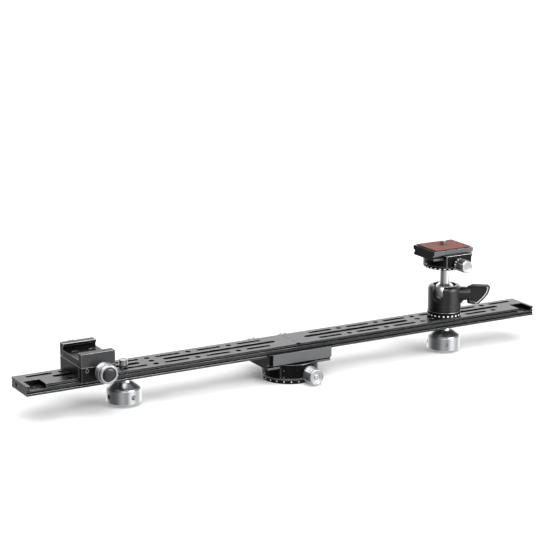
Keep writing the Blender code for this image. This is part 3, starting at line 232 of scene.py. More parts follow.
# Steel blackened in a hot salt bath, for the screws in black bodies.
BLACK_STEEL = blasted("black_oxide_steel", "2B2B2D", 0.30, 0.40, metallic=1.0)
print("blasted and moulded finishes ready")

# %% [markdown]
# ## Extruded finish
# The rail is a long extrusion, and the die leaves faint straight lines along it. Noise that is stretched a
# hundred times along X gives such lines. They are drawn about half a millimetre apart.

# %% Extruded finish
def extruded(name, code, low, high, index, pitch=0.5 * MM):
    """Anodised metal with fine straight lines along X."""
    finish, tree, shader = new_finish(name, code, 0.0, index)
    place = add(tree, "ShaderNodeTexCoord").outputs["Object"]
    drawn = add(tree, "ShaderNodeMapping", {
        "Vector": place, "Scale": (0.01 / pitch, 1 / pitch, 1 / pitch)}).outputs["Vector"]
    line = add(tree, "ShaderNodeTexNoise", {"Vector": drawn, "Scale": 1.0, "Detail": 2.0}).outputs["Fac"]
    roughen(tree, shader, line, low, high, 0.02 * MM)
    return finish


# Graphite anodised rail: a mid grey on top, where the eye skims it, and dark on its sides.
RAIL = extruded("graphite_anodised_rail", "191A1B", 0.26, 0.36, 1.42)
print("extruded finish ready")

# %% [markdown]
# ## Turned finishes
# A lathe leaves rings: circles on a face and fine bands on a side. Each turned piece keeps its own lathe
# coordinates in a vertex attribute, so the rings stay true wherever the piece points. The distance from the
# axis and the height along it are read from that attribute and feed a one-way noise.

# %% Turned finishes
def turned(name, code, low, high, pitch=0.35 * MM, depth=0.01 * MM):
    """Bare metal with the rings that a lathe leaves."""
    finish, tree, shader = new_finish(name, code, 1.0, 1.5)
    lathe = add(tree, "ShaderNodeAttribute", attribute_name="lathe").outputs["Vector"]
    flat = add(
        tree, "ShaderNodeVectorMath", {0: lathe, 1: (1, 1, 0)}, operation="MULTIPLY").outputs["Vector"]
    reach = add(tree, "ShaderNodeVectorMath", {0: flat}, operation="LENGTH").outputs["Value"]
    height = add(tree, "ShaderNodeSeparateXYZ", {"Vector": lathe}).outputs["Z"]
    where = add(tree, "ShaderNodeCombineXYZ", {"X": reach, "Y": height}).outputs["Vector"]
    ring = add(tree, "ShaderNodeTexNoise", {"Vector": where, "Scale": 1 / pitch, "Detail": 2.0})
    roughen(tree, shader, ring.outputs["Fac"], low, high, depth)
    return finish


# Satin aluminium grips: a mid grey that shows broad bands of light.
SATIN = turned("satin_aluminium", "CCCDD0", 0.24, 0.34)
# Fine-turned aluminium: mirrors the room with a soft blur.
POLISHED = turned("fine_turned_aluminium", "C2C3C5", 0.28, 0.33, depth=0.003 * MM)
# Bright-cut aluminium: faced with a sharp tool, with rings wide enough to see.
BRIGHT = turned("bright_cut_aluminium", "B2B3B5", 0.26, 0.36, pitch=1.4 * MM, depth=0.06 * MM)
# Stainless steel for studs and threads.
STAINLESS = turned("stainless_steel", "8C8B8A", 0.18, 0.26)
# The ball is ground and chromed, with a soft shine.
CHROME = turned("satin_chrome", "F0F0F0", 0.28, 0.34, depth=0.002 * MM)
print("turned finishes ready")

# %% [markdown]
# ## Shape helpers
# Most machined pieces keep the shape of their solid, and what they lack is a broken edge: a real corner is
# never perfectly sharp, and the thin line of light along it is what makes metal look like metal. So a copy
# of the solid is welded, its flat faces are joined, and its outer edges are bevelled, with the bevels painted
# pale as a painted highlight. Turned pieces are drawn as half a section and spun.

# %% Shape helpers
def copy_of(node):
    """The node's mesh as one welded shape with its flat faces joined."""
    shape = bmesh.new()
    shape.from_mesh(nodes[node].data)
    bmesh.ops.remove_doubles(shape, verts=shape.verts, dist=0.002 * MM)
    bmesh.ops.dissolve_limit(shape, angle_limit=math.radians(1), verts=shape.verts, edges=shape.edges)
    return shape


def break_edges(shape, width, wanted=None):
    """Bevels the outward edges that turn by more than 30 degrees and pass the test, and paints the bevels with
    the second finish, a painted edge highlight.
    """
    edges = [
        e for e in shape.edges if e.is_manifold and e.is_convex and e.calc_face_angle() > math.radians(30)
        and (wanted is None or wanted(e))]
    made = bmesh.ops.bevel(
        shape, geom=edges, offset=width, offset_type="OFFSET", segments=2, profile=0.5, affect="EDGES",
        material=-1, clamp_overlap=True)
    # The bevels take the second finish: a painted highlight along each edge.
    for face in made["faces"]:
        face.material_index = 1
    return shape


def spun(profile, steps=64, ease=0.15 * MM, closed=False, bands=()):
    """Spins a half section, given as (radius, height) points in mm, after easing its corners.
    Each band (low, high, rows) cuts the straight line between two heights into rows."""
    shape = bmesh.new()
    line = [shape.verts.new((radius * MM, 0, height * MM)) for radius, height in profile]
    pairs = list(zip(line, line[1:]))
    if closed:
        pairs.append((line[-1], line[0]))
    for start, end in pairs:
        shape.edges.new((start, end))
    corners = line if closed else line[1:-1]
    if ease:
        bmesh.ops.bevel(
            shape, geom=corners, offset=ease, offset_type="OFFSET", segments=2, profile=0.5,
            affect="VERTICES", material=-1, clamp_overlap=True)
    for low, high, rows in bands:
        upright = [
            e for e in shape.edges if abs(e.verts[0].co.x - e.verts[1].co.x) < 0.01 * MM
            and all(low * MM - 0.4 * MM < v.co.z < high * MM + 0.4 * MM for v in e.verts)
            and e.calc_length() > 0.6 * (high - low) * MM]
        outer = max(upright, key=lambda e: e.verts[0].co.x)
        bmesh.ops.subdivide_edges(shape, edges=[outer], cuts=rows - 1)
    bmesh.ops.spin(
        shape, geom=shape.verts[:] + shape.edges[:], cent=(0, 0, 0), axis=(0, 0, 1), angle=math.tau,
        steps=steps, use_merge=True, use_duplicate=False)
    bmesh.ops.remove_doubles(shape, verts=shape.verts, dist=0.001 * MM)
    bmesh.ops.recalc_face_normals(shape, faces=shape.faces)
    return shape


FACING = {
    "up": Matrix.Identity(4),
    "near": Matrix.Rotation(math.radians(90), 4, "X"),
    "far": Matrix.Rotation(math.radians(-90), 4, "X"),
}


def seat(shape, place, facing="up"):
    """Stores the lathe coordinates, then points the shape's axis one way and moves it to its place."""
    layer = shape.verts.layers.float_vector.new("lathe")
    for vert in shape.verts:
        vert[layer] = vert.co
    bmesh.ops.transform(shape, matrix=Matrix.Translation(place) @ FACING[facing], verts=shape.verts)
    return shape


def set_piece(shape, name, body, finishes, replaced=(), angle=30):
    """Turns a shape into a named piece that rides a body and stands for the nodes given."""
    mesh = bpy.data.meshes.new(name)
    shape.to_mesh(mesh)
    shape.free()
    mesh.shade_smooth()
    mesh.set_sharp_from_angle(angle=math.radians(angle))
    for finish in finishes:
        mesh.materials.append(finish)
    piece = bpy.data.objects.new(name, mesh)
    bpy.context.scene.collection.objects.link(piece)
    even = piece.modifiers.new("even_shading", "WEIGHTED_NORMAL")
    even.keep_sharp = True
    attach(piece, body)
    if replaced:
        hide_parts(*replaced)
    print(f"{name}: {len(mesh.polygons)} faces on {body}")
    return piece


def carved(shape, tool, operation="DIFFERENCE"):
    """Cuts one shape with another, or joins them, with an exact Boolean."""
    holders = []
    for part in (shape, tool):
        mesh = bpy.data.meshes.new("boolean_part")
        part.to_mesh(mesh)
        part.free()
        holder = bpy.data.objects.new("boolean_part", mesh)
        bpy.context.scene.collection.objects.link(holder)
        holders.append(holder)
    cut = holders[0].modifiers.new("cut", "BOOLEAN")
    cut.solver = "EXACT"
    cut.operation = operation
    cut.object = holders[1]
    result = bmesh.new()
    result.from_object(holders[0], bpy.context.evaluated_depsgraph_get())
    for holder in holders:
        mesh = holder.data
        bpy.data.objects.remove(holder)
        bpy.data.meshes.remove(mesh)
    bmesh.ops.remove_doubles(result, verts=result.verts, dist=0.002 * MM)
    return result


def block(low, high):
    """A box between two corners in mm."""
    shape = bmesh.new()
    low = Vector(low) * MM
    high = Vector(high) * MM
    place = Matrix.Translation((low + high) / 2) @ Matrix.Diagonal((*(high - low), 1))
    bmesh.ops.create_cube(shape, size=1, matrix=place)
    return shape


def bar(radius, start, end, segments=32):
    """A round bar between two points in mm."""
    shape = bmesh.new()
    start = Vector(start) * MM
    end = Vector(end) * MM
    turn = (end - start).to_track_quat("Z", "Y").to_matrix().to_4x4()
    bmesh.ops.create_cone(
        shape, cap_ends=True, segments=segments, radius1=radius * MM, radius2=radius * MM,
        depth=(end - start).length, matrix=Matrix.Translation((start + end) / 2) @ turn)
    return shape


def middle(node):
    """The centre of a node's box."""
    low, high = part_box(node)
    return (low + high) / 2


# %% [markdown]
# ## Machined bodies
# Clamp bodies, jaws and the plate are milled from bar and then blasted. They keep their solids' shapes, and
# only their edges are broken, by the width that each one shows in the light. Some have their near faces
# painted in a lighter finish, painted light for the light that falls on them, and the coupling's near face
# also has its two ends cut off at an angle.

# %% Machined bodies
COUPLING_CUT = 3.2 * MM
# Each row has a node, its body, the width of its broken edges in mm, its finish and its near faces' finish,
# which is painted light where it differs from the body's finish.
MACHINED = [
    ("base_ring", "base", 0.4, BLACK, BLACK),
    ("pan_clamp_body", "pan_clamp", 0.4, BLACK, BLACK),
    ("pan_jaw", "pan_jaw", 0.4, BLACK, BLACK),
    ("coupling_body", "coupling", 0.6, BLACK, GREY_AND_LIT_FACE),
    ("coupling_jaw", "coupling_jaw", 0.6, BLACK, BLACK),
    ("carriage_base", "carriage", 0.5, BLACK, BLACK),
    ("carriage_deck", "carriage", 0.6, BLACK, GLOSS_AND_LIT_FACE),
    ("carriage_jaw", "carriage_jaw", 0.5, BLACK, BLACK),
    ("deck_jaw", "deck_jaw", 0.5, BLACK, BLACK),
    ("head_base_ring", "head_base", 0.3, BLACK, BLACK),
    ("top_clamp_body", "top_clamp", 0.4, BLACK, BLACK),
    ("top_jaw", "top_jaw", 0.4, BLACK, BLACK),
    ("release_plate", "release_plate", 0.5, BLACK, GREY_AND_LIT_FACE),
    ("thumb_washer_left", "thumb_washer_left", 0.2, STEEL, STEEL),
    ("thumb_washer_right", "head_base", 0.2, STEEL, STEEL),
]
SLOT_OF = {name: node.material_slots[0].material.name.split(".")[0] for name, node in nodes.items()}
for node, body, width, finish, lit_near_finish in MACHINED:
    shape = copy_of(node)
    if node == "coupling_body":
        front = min(v.co.y for v in shape.verts)
        ends = [
            e for e in shape.edges if abs(e.verts[0].co.y - front) < 0.01 * MM
            and (e.verts[0].co - e.verts[1].co).xy.length < 0.01 * MM]
        bmesh.ops.bevel(
            shape, geom=ends, offset=COUPLING_CUT, offset_type="OFFSET", segments=1, profile=0.5,
            affect="EDGES", material=-1, clamp_overlap=True)
    break_edges(shape, width * MM)
    # Faces that point along -Y take the third finish: a painted lit copy where it differs from the body's
    # finish.
    for face in shape.faces:
        if face.normal.y < -0.95:
            face.material_index = 2
    set_piece(shape, f"{node}_eased", body, [finish, EDGE_HIGHLIGHT, lit_near_finish], [node])

# %% [markdown]
# ## Rail halves
# Each half is an extrusion with slots, holes and an end pocket milled into it. A small corner is cut out of
# the near top flange at the seam. The corner is cut first, so that its edges are broken with the others. The
# walls of the slots, the side grooves, the seam and the cut corner lie in shade, and get the black finish.

# %% Rail halves
CORNER_LENGTH = 2.4
CORNER_SIDE = -16.4
CORNER_FLOOR = 38.9
GROOVE_START = 16.5 * MM
RAIL_END = 299 * MM
for side, sign in (("left", -1), ("right", 1)):
    shape = copy_of(f"rail_{side}")
    start, end = sorted((0.0, sign * CORNER_LENGTH))
    shape = carved(shape, block((start, -20, CORNER_FLOOR), (end, CORNER_SIDE, 41)))
    bmesh.ops.dissolve_limit(shape, angle_limit=math.radians(1), verts=shape.verts, edges=shape.edges)
    break_edges(shape, 0.45 * MM)
    for face in shape.faces:
        centre = face.calc_center_median()
        upright = abs(face.normal.z) < 0.3
        sloping = 0.3 < abs(face.normal.z) < 0.95
        in_slot = upright and abs(centre.y) < GROOVE_START and abs(centre.x) < RAIL_END
        in_groove = face.material_index == 0 and sloping and abs(centre.y) > GROOVE_START
        by_seam = abs(centre.x) < (CORNER_LENGTH + 0.2) * MM
        on_corner = centre.y < (CORNER_SIDE + 0.1) * MM and centre.z < (CORNER_FLOOR + 0.6) * MM
        if in_slot or in_groove or by_seam and (face.normal.z < 0.9 or on_corner):
            face.material_index = 2
    set_piece(
        shape, f"rail_{side}_eased", f"rail_{side}", [RAIL, EDGE_HIGHLIGHT, BLACK], [f"rail_{side}"])

# %% [markdown]
# ## Knurled clamp knobs
# These knobs have a crossed knurl round the side, so that fingers hold, and a faced front. The side is spun
# as a grid, and every square of the grid is poked out into a low pyramid. The bore stays clear of the screw.

# %% Knurled clamp knobs
def knob_place(node, facing):
    """Radius, length and the middle of the back of a knob that lies along Y, in mm and metres."""
    low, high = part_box(node)
    centre = (low + high) / 2
    centre.y = high.y if facing == "near" else low.y
    return (high.x - low.x) / 2 / MM, (high.y - low.y) / MM, centre


def bore_for(screw):
    """The radius in mm that clears a screw along Y by 0.3 mm."""
    low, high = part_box(screw)
    return (high.x - low.x) / 2 / MM + 0.3


def knurled_knob(node, screw, body, facing, columns, rows):
    """A knob with a crossed knurl, a bright rim and a dished front, in place of a node."""
    radius, length, centre = knob_place(node, facing)
    bore = bore_for(screw)
    back, front = 0.9, length - 2.6
    depth = 1.0
    profile = [
        (0, 9), (bore, 9), (bore, 0), (radius - 1.5, 0), (radius - depth, back), (radius - depth, front),
        (radius - 1.3, front + 0.4), (radius - 1.3, front + 0.8), (radius - 0.2, front + 1.2),
        (radius - 0.2, length - 0.6), (radius - 0.8, length), (radius - 1.9, length),
        (radius - 2.2, length - 0.4), (0.5 * radius, length - 0.6), (0.45 * radius, length - 1.1),
        (0.3 * radius, length - 1.1), (0.25 * radius, length - 0.5), (0, length - 0.5)]
    shape = spun(profile, columns, ease=0.1 * MM, bands=[(back, front, rows)])
    grip = [
        f for f in shape.faces if back * MM < f.calc_center_median().z < front * MM
        and f.calc_center_median().xy.length > (radius - 1.2) * MM]
    for face in shape.faces:
        face.material_index = 0 if face.calc_center_median().z < (front + 0.9) * MM else 1
    bmesh.ops.poke(shape, faces=grip, offset=depth * MM)
    seat(shape, centre, facing)
    set_piece(shape, f"{node}_knurled", body, [SATIN, BRIGHT], [node], 10)


knurled_knob("pan_knob", "pan_screw", "pan_knob", "near", 22, 4)
knurled_knob("coupling_knob_left", "coupling_screw_left", "coupling_knob_left", "far", 24, 7)
knurled_knob("coupling_knob_right", "coupling_screw_right", "coupling_knob_right", "far", 24, 7)
knurled_knob("deck_knob", "deck_screw", "deck_knob", "far", 24, 5)

# %% [markdown]
# ## Fluted top knob
# The top clamp's knob has deep flutes. It is spun with eight steps to a flute, and the rings of points along
# the grip are drawn in towards the axis in a wave.

# %% Fluted top knob
FLUTES = 14
FLUTE_DEPTH = 0.2
radius, length, centre = knob_place("top_knob", "near")
bore = bore_for("top_screw")
profile = [
    (0, 9), (bore, 9), (bore, 0), (radius - 1.0, 0), (radius - 0.1, 0.8), (radius, 1.6),
    (radius, length - 2.0), (radius - 0.1, length - 1.2), (radius - 0.5, length - 0.5),
    (radius - 1.0, length), (radius - 1.8, length), (radius - 2.1, length - 0.4), (2.6, length - 0.6),
    (2.3, length - 1.1), (1.4, length - 1.1), (1.2, length - 0.5), (0, length - 0.5)]
shape = spun(profile, FLUTES * 8, ease=0)
for vert in shape.verts:
    if 1.5 * MM < vert.co.z < (length - 1.9) * MM and vert.co.xy.length > (radius - 0.5) * MM:
        angle = math.atan2(vert.co.y, vert.co.x)
        draw = 1 - FLUTE_DEPTH * (0.5 - 0.5 * math.cos(FLUTES * angle))
        vert.co.x *= draw
        vert.co.y *= draw
for face in shape.faces:
    inside = face.calc_center_median().xy.length < (radius - 2.1) * MM
    face.material_index = 1 if inside and face.calc_center_median().z > (length - 1.5) * MM else 0
seat(shape, centre, "near")
set_piece(shape, "top_knob_fluted", "top_knob", [POLISHED, BRIGHT], ["top_knob"])

# %% [markdown]
# ## Large carriage knob and its cap
# The double clamp's knob is the brightest thing on the rail: a fine knurl, a bright chamfer, a groove painted
# black as shade and a thick bright rim round a black domed cap. The section is spun, and the rim is rounded in
# a few short steps.

# %% Large carriage knob and its cap
low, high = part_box("carriage_knob")
place = Vector(((low.x + high.x) / 2, high.y, (low.z + high.z) / 2))
profile = [
    (0, 8.6), (2.8, 8.6), (2.8, 0), (8.9, 0), (9.6, 0.7), (9.6, 7.3), (10, 7.6), (10, 8.6), (9.0, 9.2),
    (8.7, 9.3), (8.7, 10.3), (9.3, 10.4), (9.9, 11.0), (9.9, 12.0), (9.3, 12.9), (8.4, 13.4), (7.5, 13.4),
    (7.1, 13.0), (7.1, 10.9), (0, 10.9)]
shape = spun(profile, 72, ease=0.12 * MM, bands=[(0.7, 7.3, 7)])
for face in shape.faces:
    height = face.calc_center_median().z / MM
    reach = face.calc_center_median().xy.length / MM
    face.material_index = 0 if height < 7.4 else 1
    # The groove is painted black: painted shade in the recess.
    if 9.0 < height < 10.4 and 8 < reach < 9.4:
        face.material_index = 2
grip = [
    f for f in shape.faces if 0.8 * MM < f.calc_center_median().z < 7.2 * MM
    and f.calc_center_median().xy.length > 9.3 * MM]
bmesh.ops.poke(shape, faces=grip, offset=0.4 * MM)
seat(shape, place, "near")
set_piece(
    shape, "carriage_knob_turned", "carriage_knob", [SATIN, BRIGHT, BLACK],
    ["carriage_knob"], 14)

dome = [(0, 11.2), (6.8, 11.2), (6.8, 13.2), (6.2, 13.6), (5.0, 13.9), (3.4, 14.1), (1.7, 14.2), (0, 14.2)]
shape = seat(spun(dome, 64, ease=0.2 * MM), place, "near")
set_piece(shape, "carriage_knob_dome", "carriage_knob", [ABS], ["carriage_knob_cap"])

# %% [markdown]
# ## Thumbscrew knobs
# Under each outer slot hangs a large knob: a satin grip with four holes for a tommy bar, and a fine-turned
# cone that rises to the washer. The section is spun, and the four holes are cut with round bars.

# %% Thumbscrew knobs
for side, turn in (("left", 9), ("right", -25)):
    low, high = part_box(f"thumb_knob_{side}")
    place = Vector(((low.x + high.x) / 2, (low.y + high.y) / 2, low.z))
    profile = [
        (0, 6.5), (3.3, 6.5), (3.3, 24.5), (7.3, 24.5), (7.5, 24.2), (7.5, 23.5), (8.4, 20.6), (16.9, 14.9),
        (16.9, 14.5), (15.9, 14.3), (15.9, 13.8), (17.2, 13.8), (17.5, 13.5), (17.5, 0.3), (17.2, 0), (0, 0)]
    shape = spun(profile, 96, ease=0.15 * MM)
    for quarter in range(4):
        angle = math.radians(90 * quarter + turn)
        away = Vector((math.cos(angle), math.sin(angle), 0))
        level = Vector((0, 0, 6.95))
        shape = carved(shape, bar(2.5, away * 12.5 + level, away * 20 + level))
    for face in shape.faces:
        face.material_index = 1 if face.calc_center_median().z > 14.4 * MM else 0
    seat(shape, place)
    set_piece(
        shape, f"thumb_knob_{side}_turned", f"thumbscrew_{side}", [SATIN, POLISHED],
        [f"thumb_knob_{side}"])

# %% [markdown]
# ## Ball head housing
# The housing is a turned cup with a rounded shoulder, a groove near its foot, a notch that lets the stem
# drop and a boss for the lock screw. The cup is spun, the boss is joined on, and the notch and the bore are
# cut.

# %% Ball head housing
low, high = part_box("head_base_ring")
HEAD = Vector(((low.x + high.x) / 2, (low.y + high.y) / 2, low.z - 0.3 * MM))
lock = Vector((0.8, -0.6, 0))
shoulder = [
    (13.5 + 4.5 * math.sin(math.radians(a)), 29.5 + 4.5 * math.cos(math.radians(a)))
    for a in range(15, 90, 15)]
profile = [
    (12.1, 34.0), (13.5, 34.0), *shoulder, (18, 29.5), (18, 14.3), (17.5, 14.0), (17.5, 13.3), (18, 13.0),
    (18, 6.8), (17.5, 6.3), (7.3, 6.3), (7.3, 9.0), (10.8, 9.0), (10.8, 11.3), (12.9, 11.3), (12.9, 24.5),
    (12.75, 26.8), (12.12, 28.9)]
shape = spun(profile, 96, ease=0.1 * MM, closed=True)
ball_height = Vector((0, 0, 24.5))
boss = break_edges(bar(7.5, lock * 14.2 + ball_height, lock * 23.75 + ball_height, 48), 0.2 * MM)
for face in boss.faces:
    face.material_index = 0
shape = carved(shape, boss, "UNION")
web = bmesh.new()
side = [web.verts.new((u * MM, -4.5 * MM, h * MM)) for u, h in (
    (14.3, 13.4), (17.95, 13.4), (23.2, 20.2), (23.2, 24.4), (14.3, 24.4))]
web.faces.new(side)
grown = bmesh.ops.extrude_face_region(web, geom=web.faces[:])
lifted = [g for g in grown["geom"] if isinstance(g, bmesh.types.BMVert)]
bmesh.ops.translate(web, vec=(0, 9 * MM, 0), verts=lifted)
bmesh.ops.recalc_face_normals(web, faces=web.faces)
break_edges(web, 0.5 * MM)
lock_turn = Matrix.Rotation(math.atan2(lock.y, lock.x), 3, "Z")
bmesh.ops.rotate(web, cent=(0, 0, 0), matrix=lock_turn, verts=web.verts)
shape = carved(shape, web, "UNION")
shape = carved(shape, bar(4.3, lock * 11 + ball_height, lock * 25 + ball_height))
bearing = math.radians(208.6)
drop = Vector((math.cos(bearing), math.sin(bearing), 0))
shape = carved(shape, bar(6.3, drop * 6 + ball_height, drop * 22 + ball_height, 48))
gate = block((6, -6.3, 24.5), (22, 6.3, 36))
bmesh.ops.rotate(gate, cent=(0, 0, 0), matrix=Matrix.Rotation(bearing, 3, "Z"), verts=gate.verts)
shape = carved(shape, gate)


def on_notch(edge):
    """True for an edge of the notch on the outside of the housing."""
    middle_point = (edge.verts[0].co + edge.verts[1].co) / 2
    across = abs(middle_point.x * drop.y - middle_point.y * drop.x)
    along = middle_point.x * drop.x + middle_point.y * drop.y
    return along > 13.2 * MM and across < 6.5 * MM and middle_point.z > 18 * MM


bmesh.ops.dissolve_limit(shape, angle_limit=math.radians(0.5), verts=shape.verts, edges=shape.edges)
break_edges(shape, 0.45 * MM, on_notch)
seat(shape, HEAD)
set_piece(shape, "head_housing_turned", "head_housing", [GLOSS_AND_LIT_FACE, EDGE_HIGHLIGHT], ["head_housing"])

# %% [markdown]
# ## Ball and stem
# The ball and its stem are one turned and polished piece, with a spigot on top for the clamp and a bore for
# its screw. The ball is an arc in the section, which ends where the stem meets it.

# %% Ball and stem
meet = 180 - math.degrees(math.asin(5.5 / 12.5))
arc = [
    (12.5 * math.sin(math.radians(a)), 24.5 - 12.5 * math.cos(math.radians(a)))
    for a in [meet * step / 36 for step in range(37)]]
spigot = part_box("ball")[1].z / MM - HEAD.z / MM
profile = [
    *arc, (5.5, 54.0), (5.1, 54.4), (4.0, 54.4), (4.0, spigot), (2.3, spigot), (2.3, spigot - 5.8),
    (0, spigot - 5.8)]
shape = seat(spun(profile, 72, ease=0), HEAD)
set_piece(shape, "ball_polished", "ball", [CHROME], ["ball"])

# %% [markdown]
# ## Lock lever
# A wing on a round hub. Its near face is scooped inside a rim that is painted bright along the lower right, a
# painted highlight, and a wide bevel runs round the outside. An outline with cut corners is drawn, extruded,
# bevelled and inset.

# %% Lock lever
outline = [
    (24.3, 8.0), (30.5, 10.8), (46.6, 10.7), (49.3, 8.2), (47.4, 1.0), (43.6, -4.5), (38.6, -9.6),
    (36.6, -11.5), (33.4, -12.3), (25.0, -11.0), (24.3, -8.0)]
wing_middle = Vector((36.5, -0.5, 0))
shape = bmesh.new()
ring = [shape.verts.new((u * MM, v * MM, -3 * MM)) for u, v in outline]
shape.faces.new(ring)
grown = bmesh.ops.extrude_face_region(shape, geom=shape.faces[:])
lifted = [g for g in grown["geom"] if isinstance(g, bmesh.types.BMVert)]
bmesh.ops.translate(shape, vec=(0, 0, 6 * MM), verts=lifted)
bmesh.ops.recalc_face_normals(shape, faces=shape.faces)
sides = [max(shape.faces, key=lambda f: f.calc_center_median().z)]
sides.append(min(shape.faces, key=lambda f: f.calc_center_median().z))
rims = list({e for f in sides for e in f.edges})
bmesh.ops.bevel(
    shape, geom=rims, offset=2.0 * MM, offset_type="OFFSET", segments=3, profile=0.5, affect="EDGES",
    material=-1, clamp_overlap=True)
near = max(shape.faces, key=lambda f: f.calc_center_median().z)
rim = bmesh.ops.inset_region(shape, faces=[near], thickness=0.9 * MM, depth=0)["faces"]
# Rim faces towards the lower right are painted pale: a painted highlight.
for face in rim:
    away = face.calc_center_median() / MM - wing_middle
    face.material_index = 1 if 0.8 * away.x - 0.6 * away.y > 2 else 0
# So are the sloping bevel faces along the lower edge: a painted highlight.
for face in shape.faces:
    away = face.calc_center_median() / MM - wing_middle
    if 0.3 < face.normal.z < 0.95 and away.y < -10:
        face.material_index = 1
bmesh.ops.inset_region(shape, faces=[near], thickness=1.0 * MM, depth=0)
bmesh.ops.translate(shape, vec=(0, 0, -1.0 * MM), verts=near.verts)
bmesh.ops.create_cone(
    shape, cap_ends=True, segments=48, radius1=7 * MM, radius2=7 * MM, depth=4.2 * MM,
    matrix=Matrix.Translation((25.9 * MM, 0, 0)) @ Matrix.Rotation(math.radians(90), 4, "Y"))
side_way = Vector((-0.6, -0.8, 0))
turn = Matrix((lock, Vector((0, 0, 1)), side_way)).transposed().to_4x4()
bmesh.ops.transform(shape, matrix=Matrix.Translation(HEAD + ball_height * MM) @ turn, verts=shape.verts)
set_piece(shape, "lock_lever_wing", "lock_lever", [GLOSS_AND_LIT_FACE, RIM_HIGHLIGHT], ["lock_lever"], 35)

# %% [markdown]
# ## Index rings
# The turning joints carry white marks. On the base they are dots every 15 degrees with finer ticks above
# them, and on the ball head's ring short blocks. A dot on each turning body is read against them, and the
# base's jaw has two grub screws. Each is a small box or disc, sunk in so that it stands proud by a hair.

# %% Index rings
def ring_marks(name, body, axis, radius, height, angles, width, tall):
    """White boxes round a vertical ring, all sizes in mm."""
    shape = bmesh.new()
    for angle in angles:
        place = (
            Matrix.Translation(axis) @ Matrix.Rotation(math.radians(angle), 4, "Z")
            @ Matrix.Translation(((radius - 0.15) * MM, 0, height * MM))
            @ Matrix.Diagonal((0.4 * MM, width * MM, tall * MM, 1)))
        bmesh.ops.create_cube(shape, size=1, matrix=place)
    set_piece(shape, name, body, [ENAMEL])


def ring_dots(name, body, axis, radius, height, angles, size, finish=ENAMEL):
    """Discs round a vertical ring, all sizes in mm."""
    shape = bmesh.new()
    for angle in angles:
        place = (
            Matrix.Translation(axis) @ Matrix.Rotation(math.radians(angle), 4, "Z")
            @ Matrix.Translation(((radius - 0.2) * MM, 0, height * MM))
            @ Matrix.Rotation(math.radians(90), 4, "Y"))
        bmesh.ops.create_cone(
            shape, cap_ends=True, segments=16, radius1=size * MM, radius2=size * MM, depth=0.6 * MM,
            matrix=place)
    set_piece(shape, name, body, [finish])


BASE_AXIS = Vector((middle("base_ring").x, middle("base_ring").y, 0))
HEAD_AXIS = Vector((HEAD.x, HEAD.y, 0))
ring_dots("base_ring_dots", "base", BASE_AXIS, 29.5, 2.5, range(4, 364, 15), 0.6)
ring_marks("base_ring_ticks", "base", BASE_AXIS, 29.5, 4.2, range(4, 364, 5), 0.35, 0.5)
ring_marks("head_ring_blocks", "head_base", HEAD_AXIS, 18.3, 42.4, range(9, 369, 15), 1.8, 1.4)
ring_dots("pan_clamp_index", "pan_clamp", BASE_AXIS, 29.5, 7.6, [179], 0.6)
ring_dots("pan_jaw_grub_low", "pan_jaw", BASE_AXIS, 30, 7.4, [-131], 0.7, STEEL)
ring_dots("pan_jaw_grub_high", "pan_jaw", BASE_AXIS, 30, 14.4, [-131], 0.7, STEEL)
ring_dots("top_clamp_index", "top_clamp", HEAD_AXIS, 23.75, 99.8, [178], 0.6)

# %% [markdown]
# ## Toothed ring under the top clamp
# Its lower outer edge is a row of teeth with white gaps between them. The ring is spun with four steps to a
# tooth, and the faces of the gaps are pushed in.

# %% Toothed ring under the top clamp
TEETH = 28
low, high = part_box("top_index_ring")
profile = [
    (4.3, 0), (23.0, 0), (23.6, 0.7), (23.6, 1.9), (23.75, 2.1), (23.75, 3.0), (23.45, 3.3), (4.3, 3.3)]
shape = spun(profile, TEETH * 4, ease=0, closed=True)
gaps = []
for face in shape.faces:
    centre = face.calc_center_median()
    step = round(math.degrees(math.atan2(centre.y, centre.x)) / (360 / TEETH / 4) - 0.5)
    if 0.8 * MM < centre.z < 1.8 * MM and centre.xy.length > 23 * MM and step % 4 < 2:
        gaps.append(face)
bmesh.ops.inset_region(shape, faces=gaps, thickness=0.05 * MM, depth=-0.15 * MM)
for face in gaps:
    face.material_index = 1
seat(shape, Vector((HEAD.x, HEAD.y, low.z)))
set_piece(shape, "top_ring_toothed", "ball", [BLACK, ENAMEL], ["top_index_ring"])

# %% [markdown]
# ## Threads
# A thread is one tooth carried round and up at the same time. A spin with a step along its axis does that,
# two planes trim the ends square, and the ends are closed, round a bore where there is one.

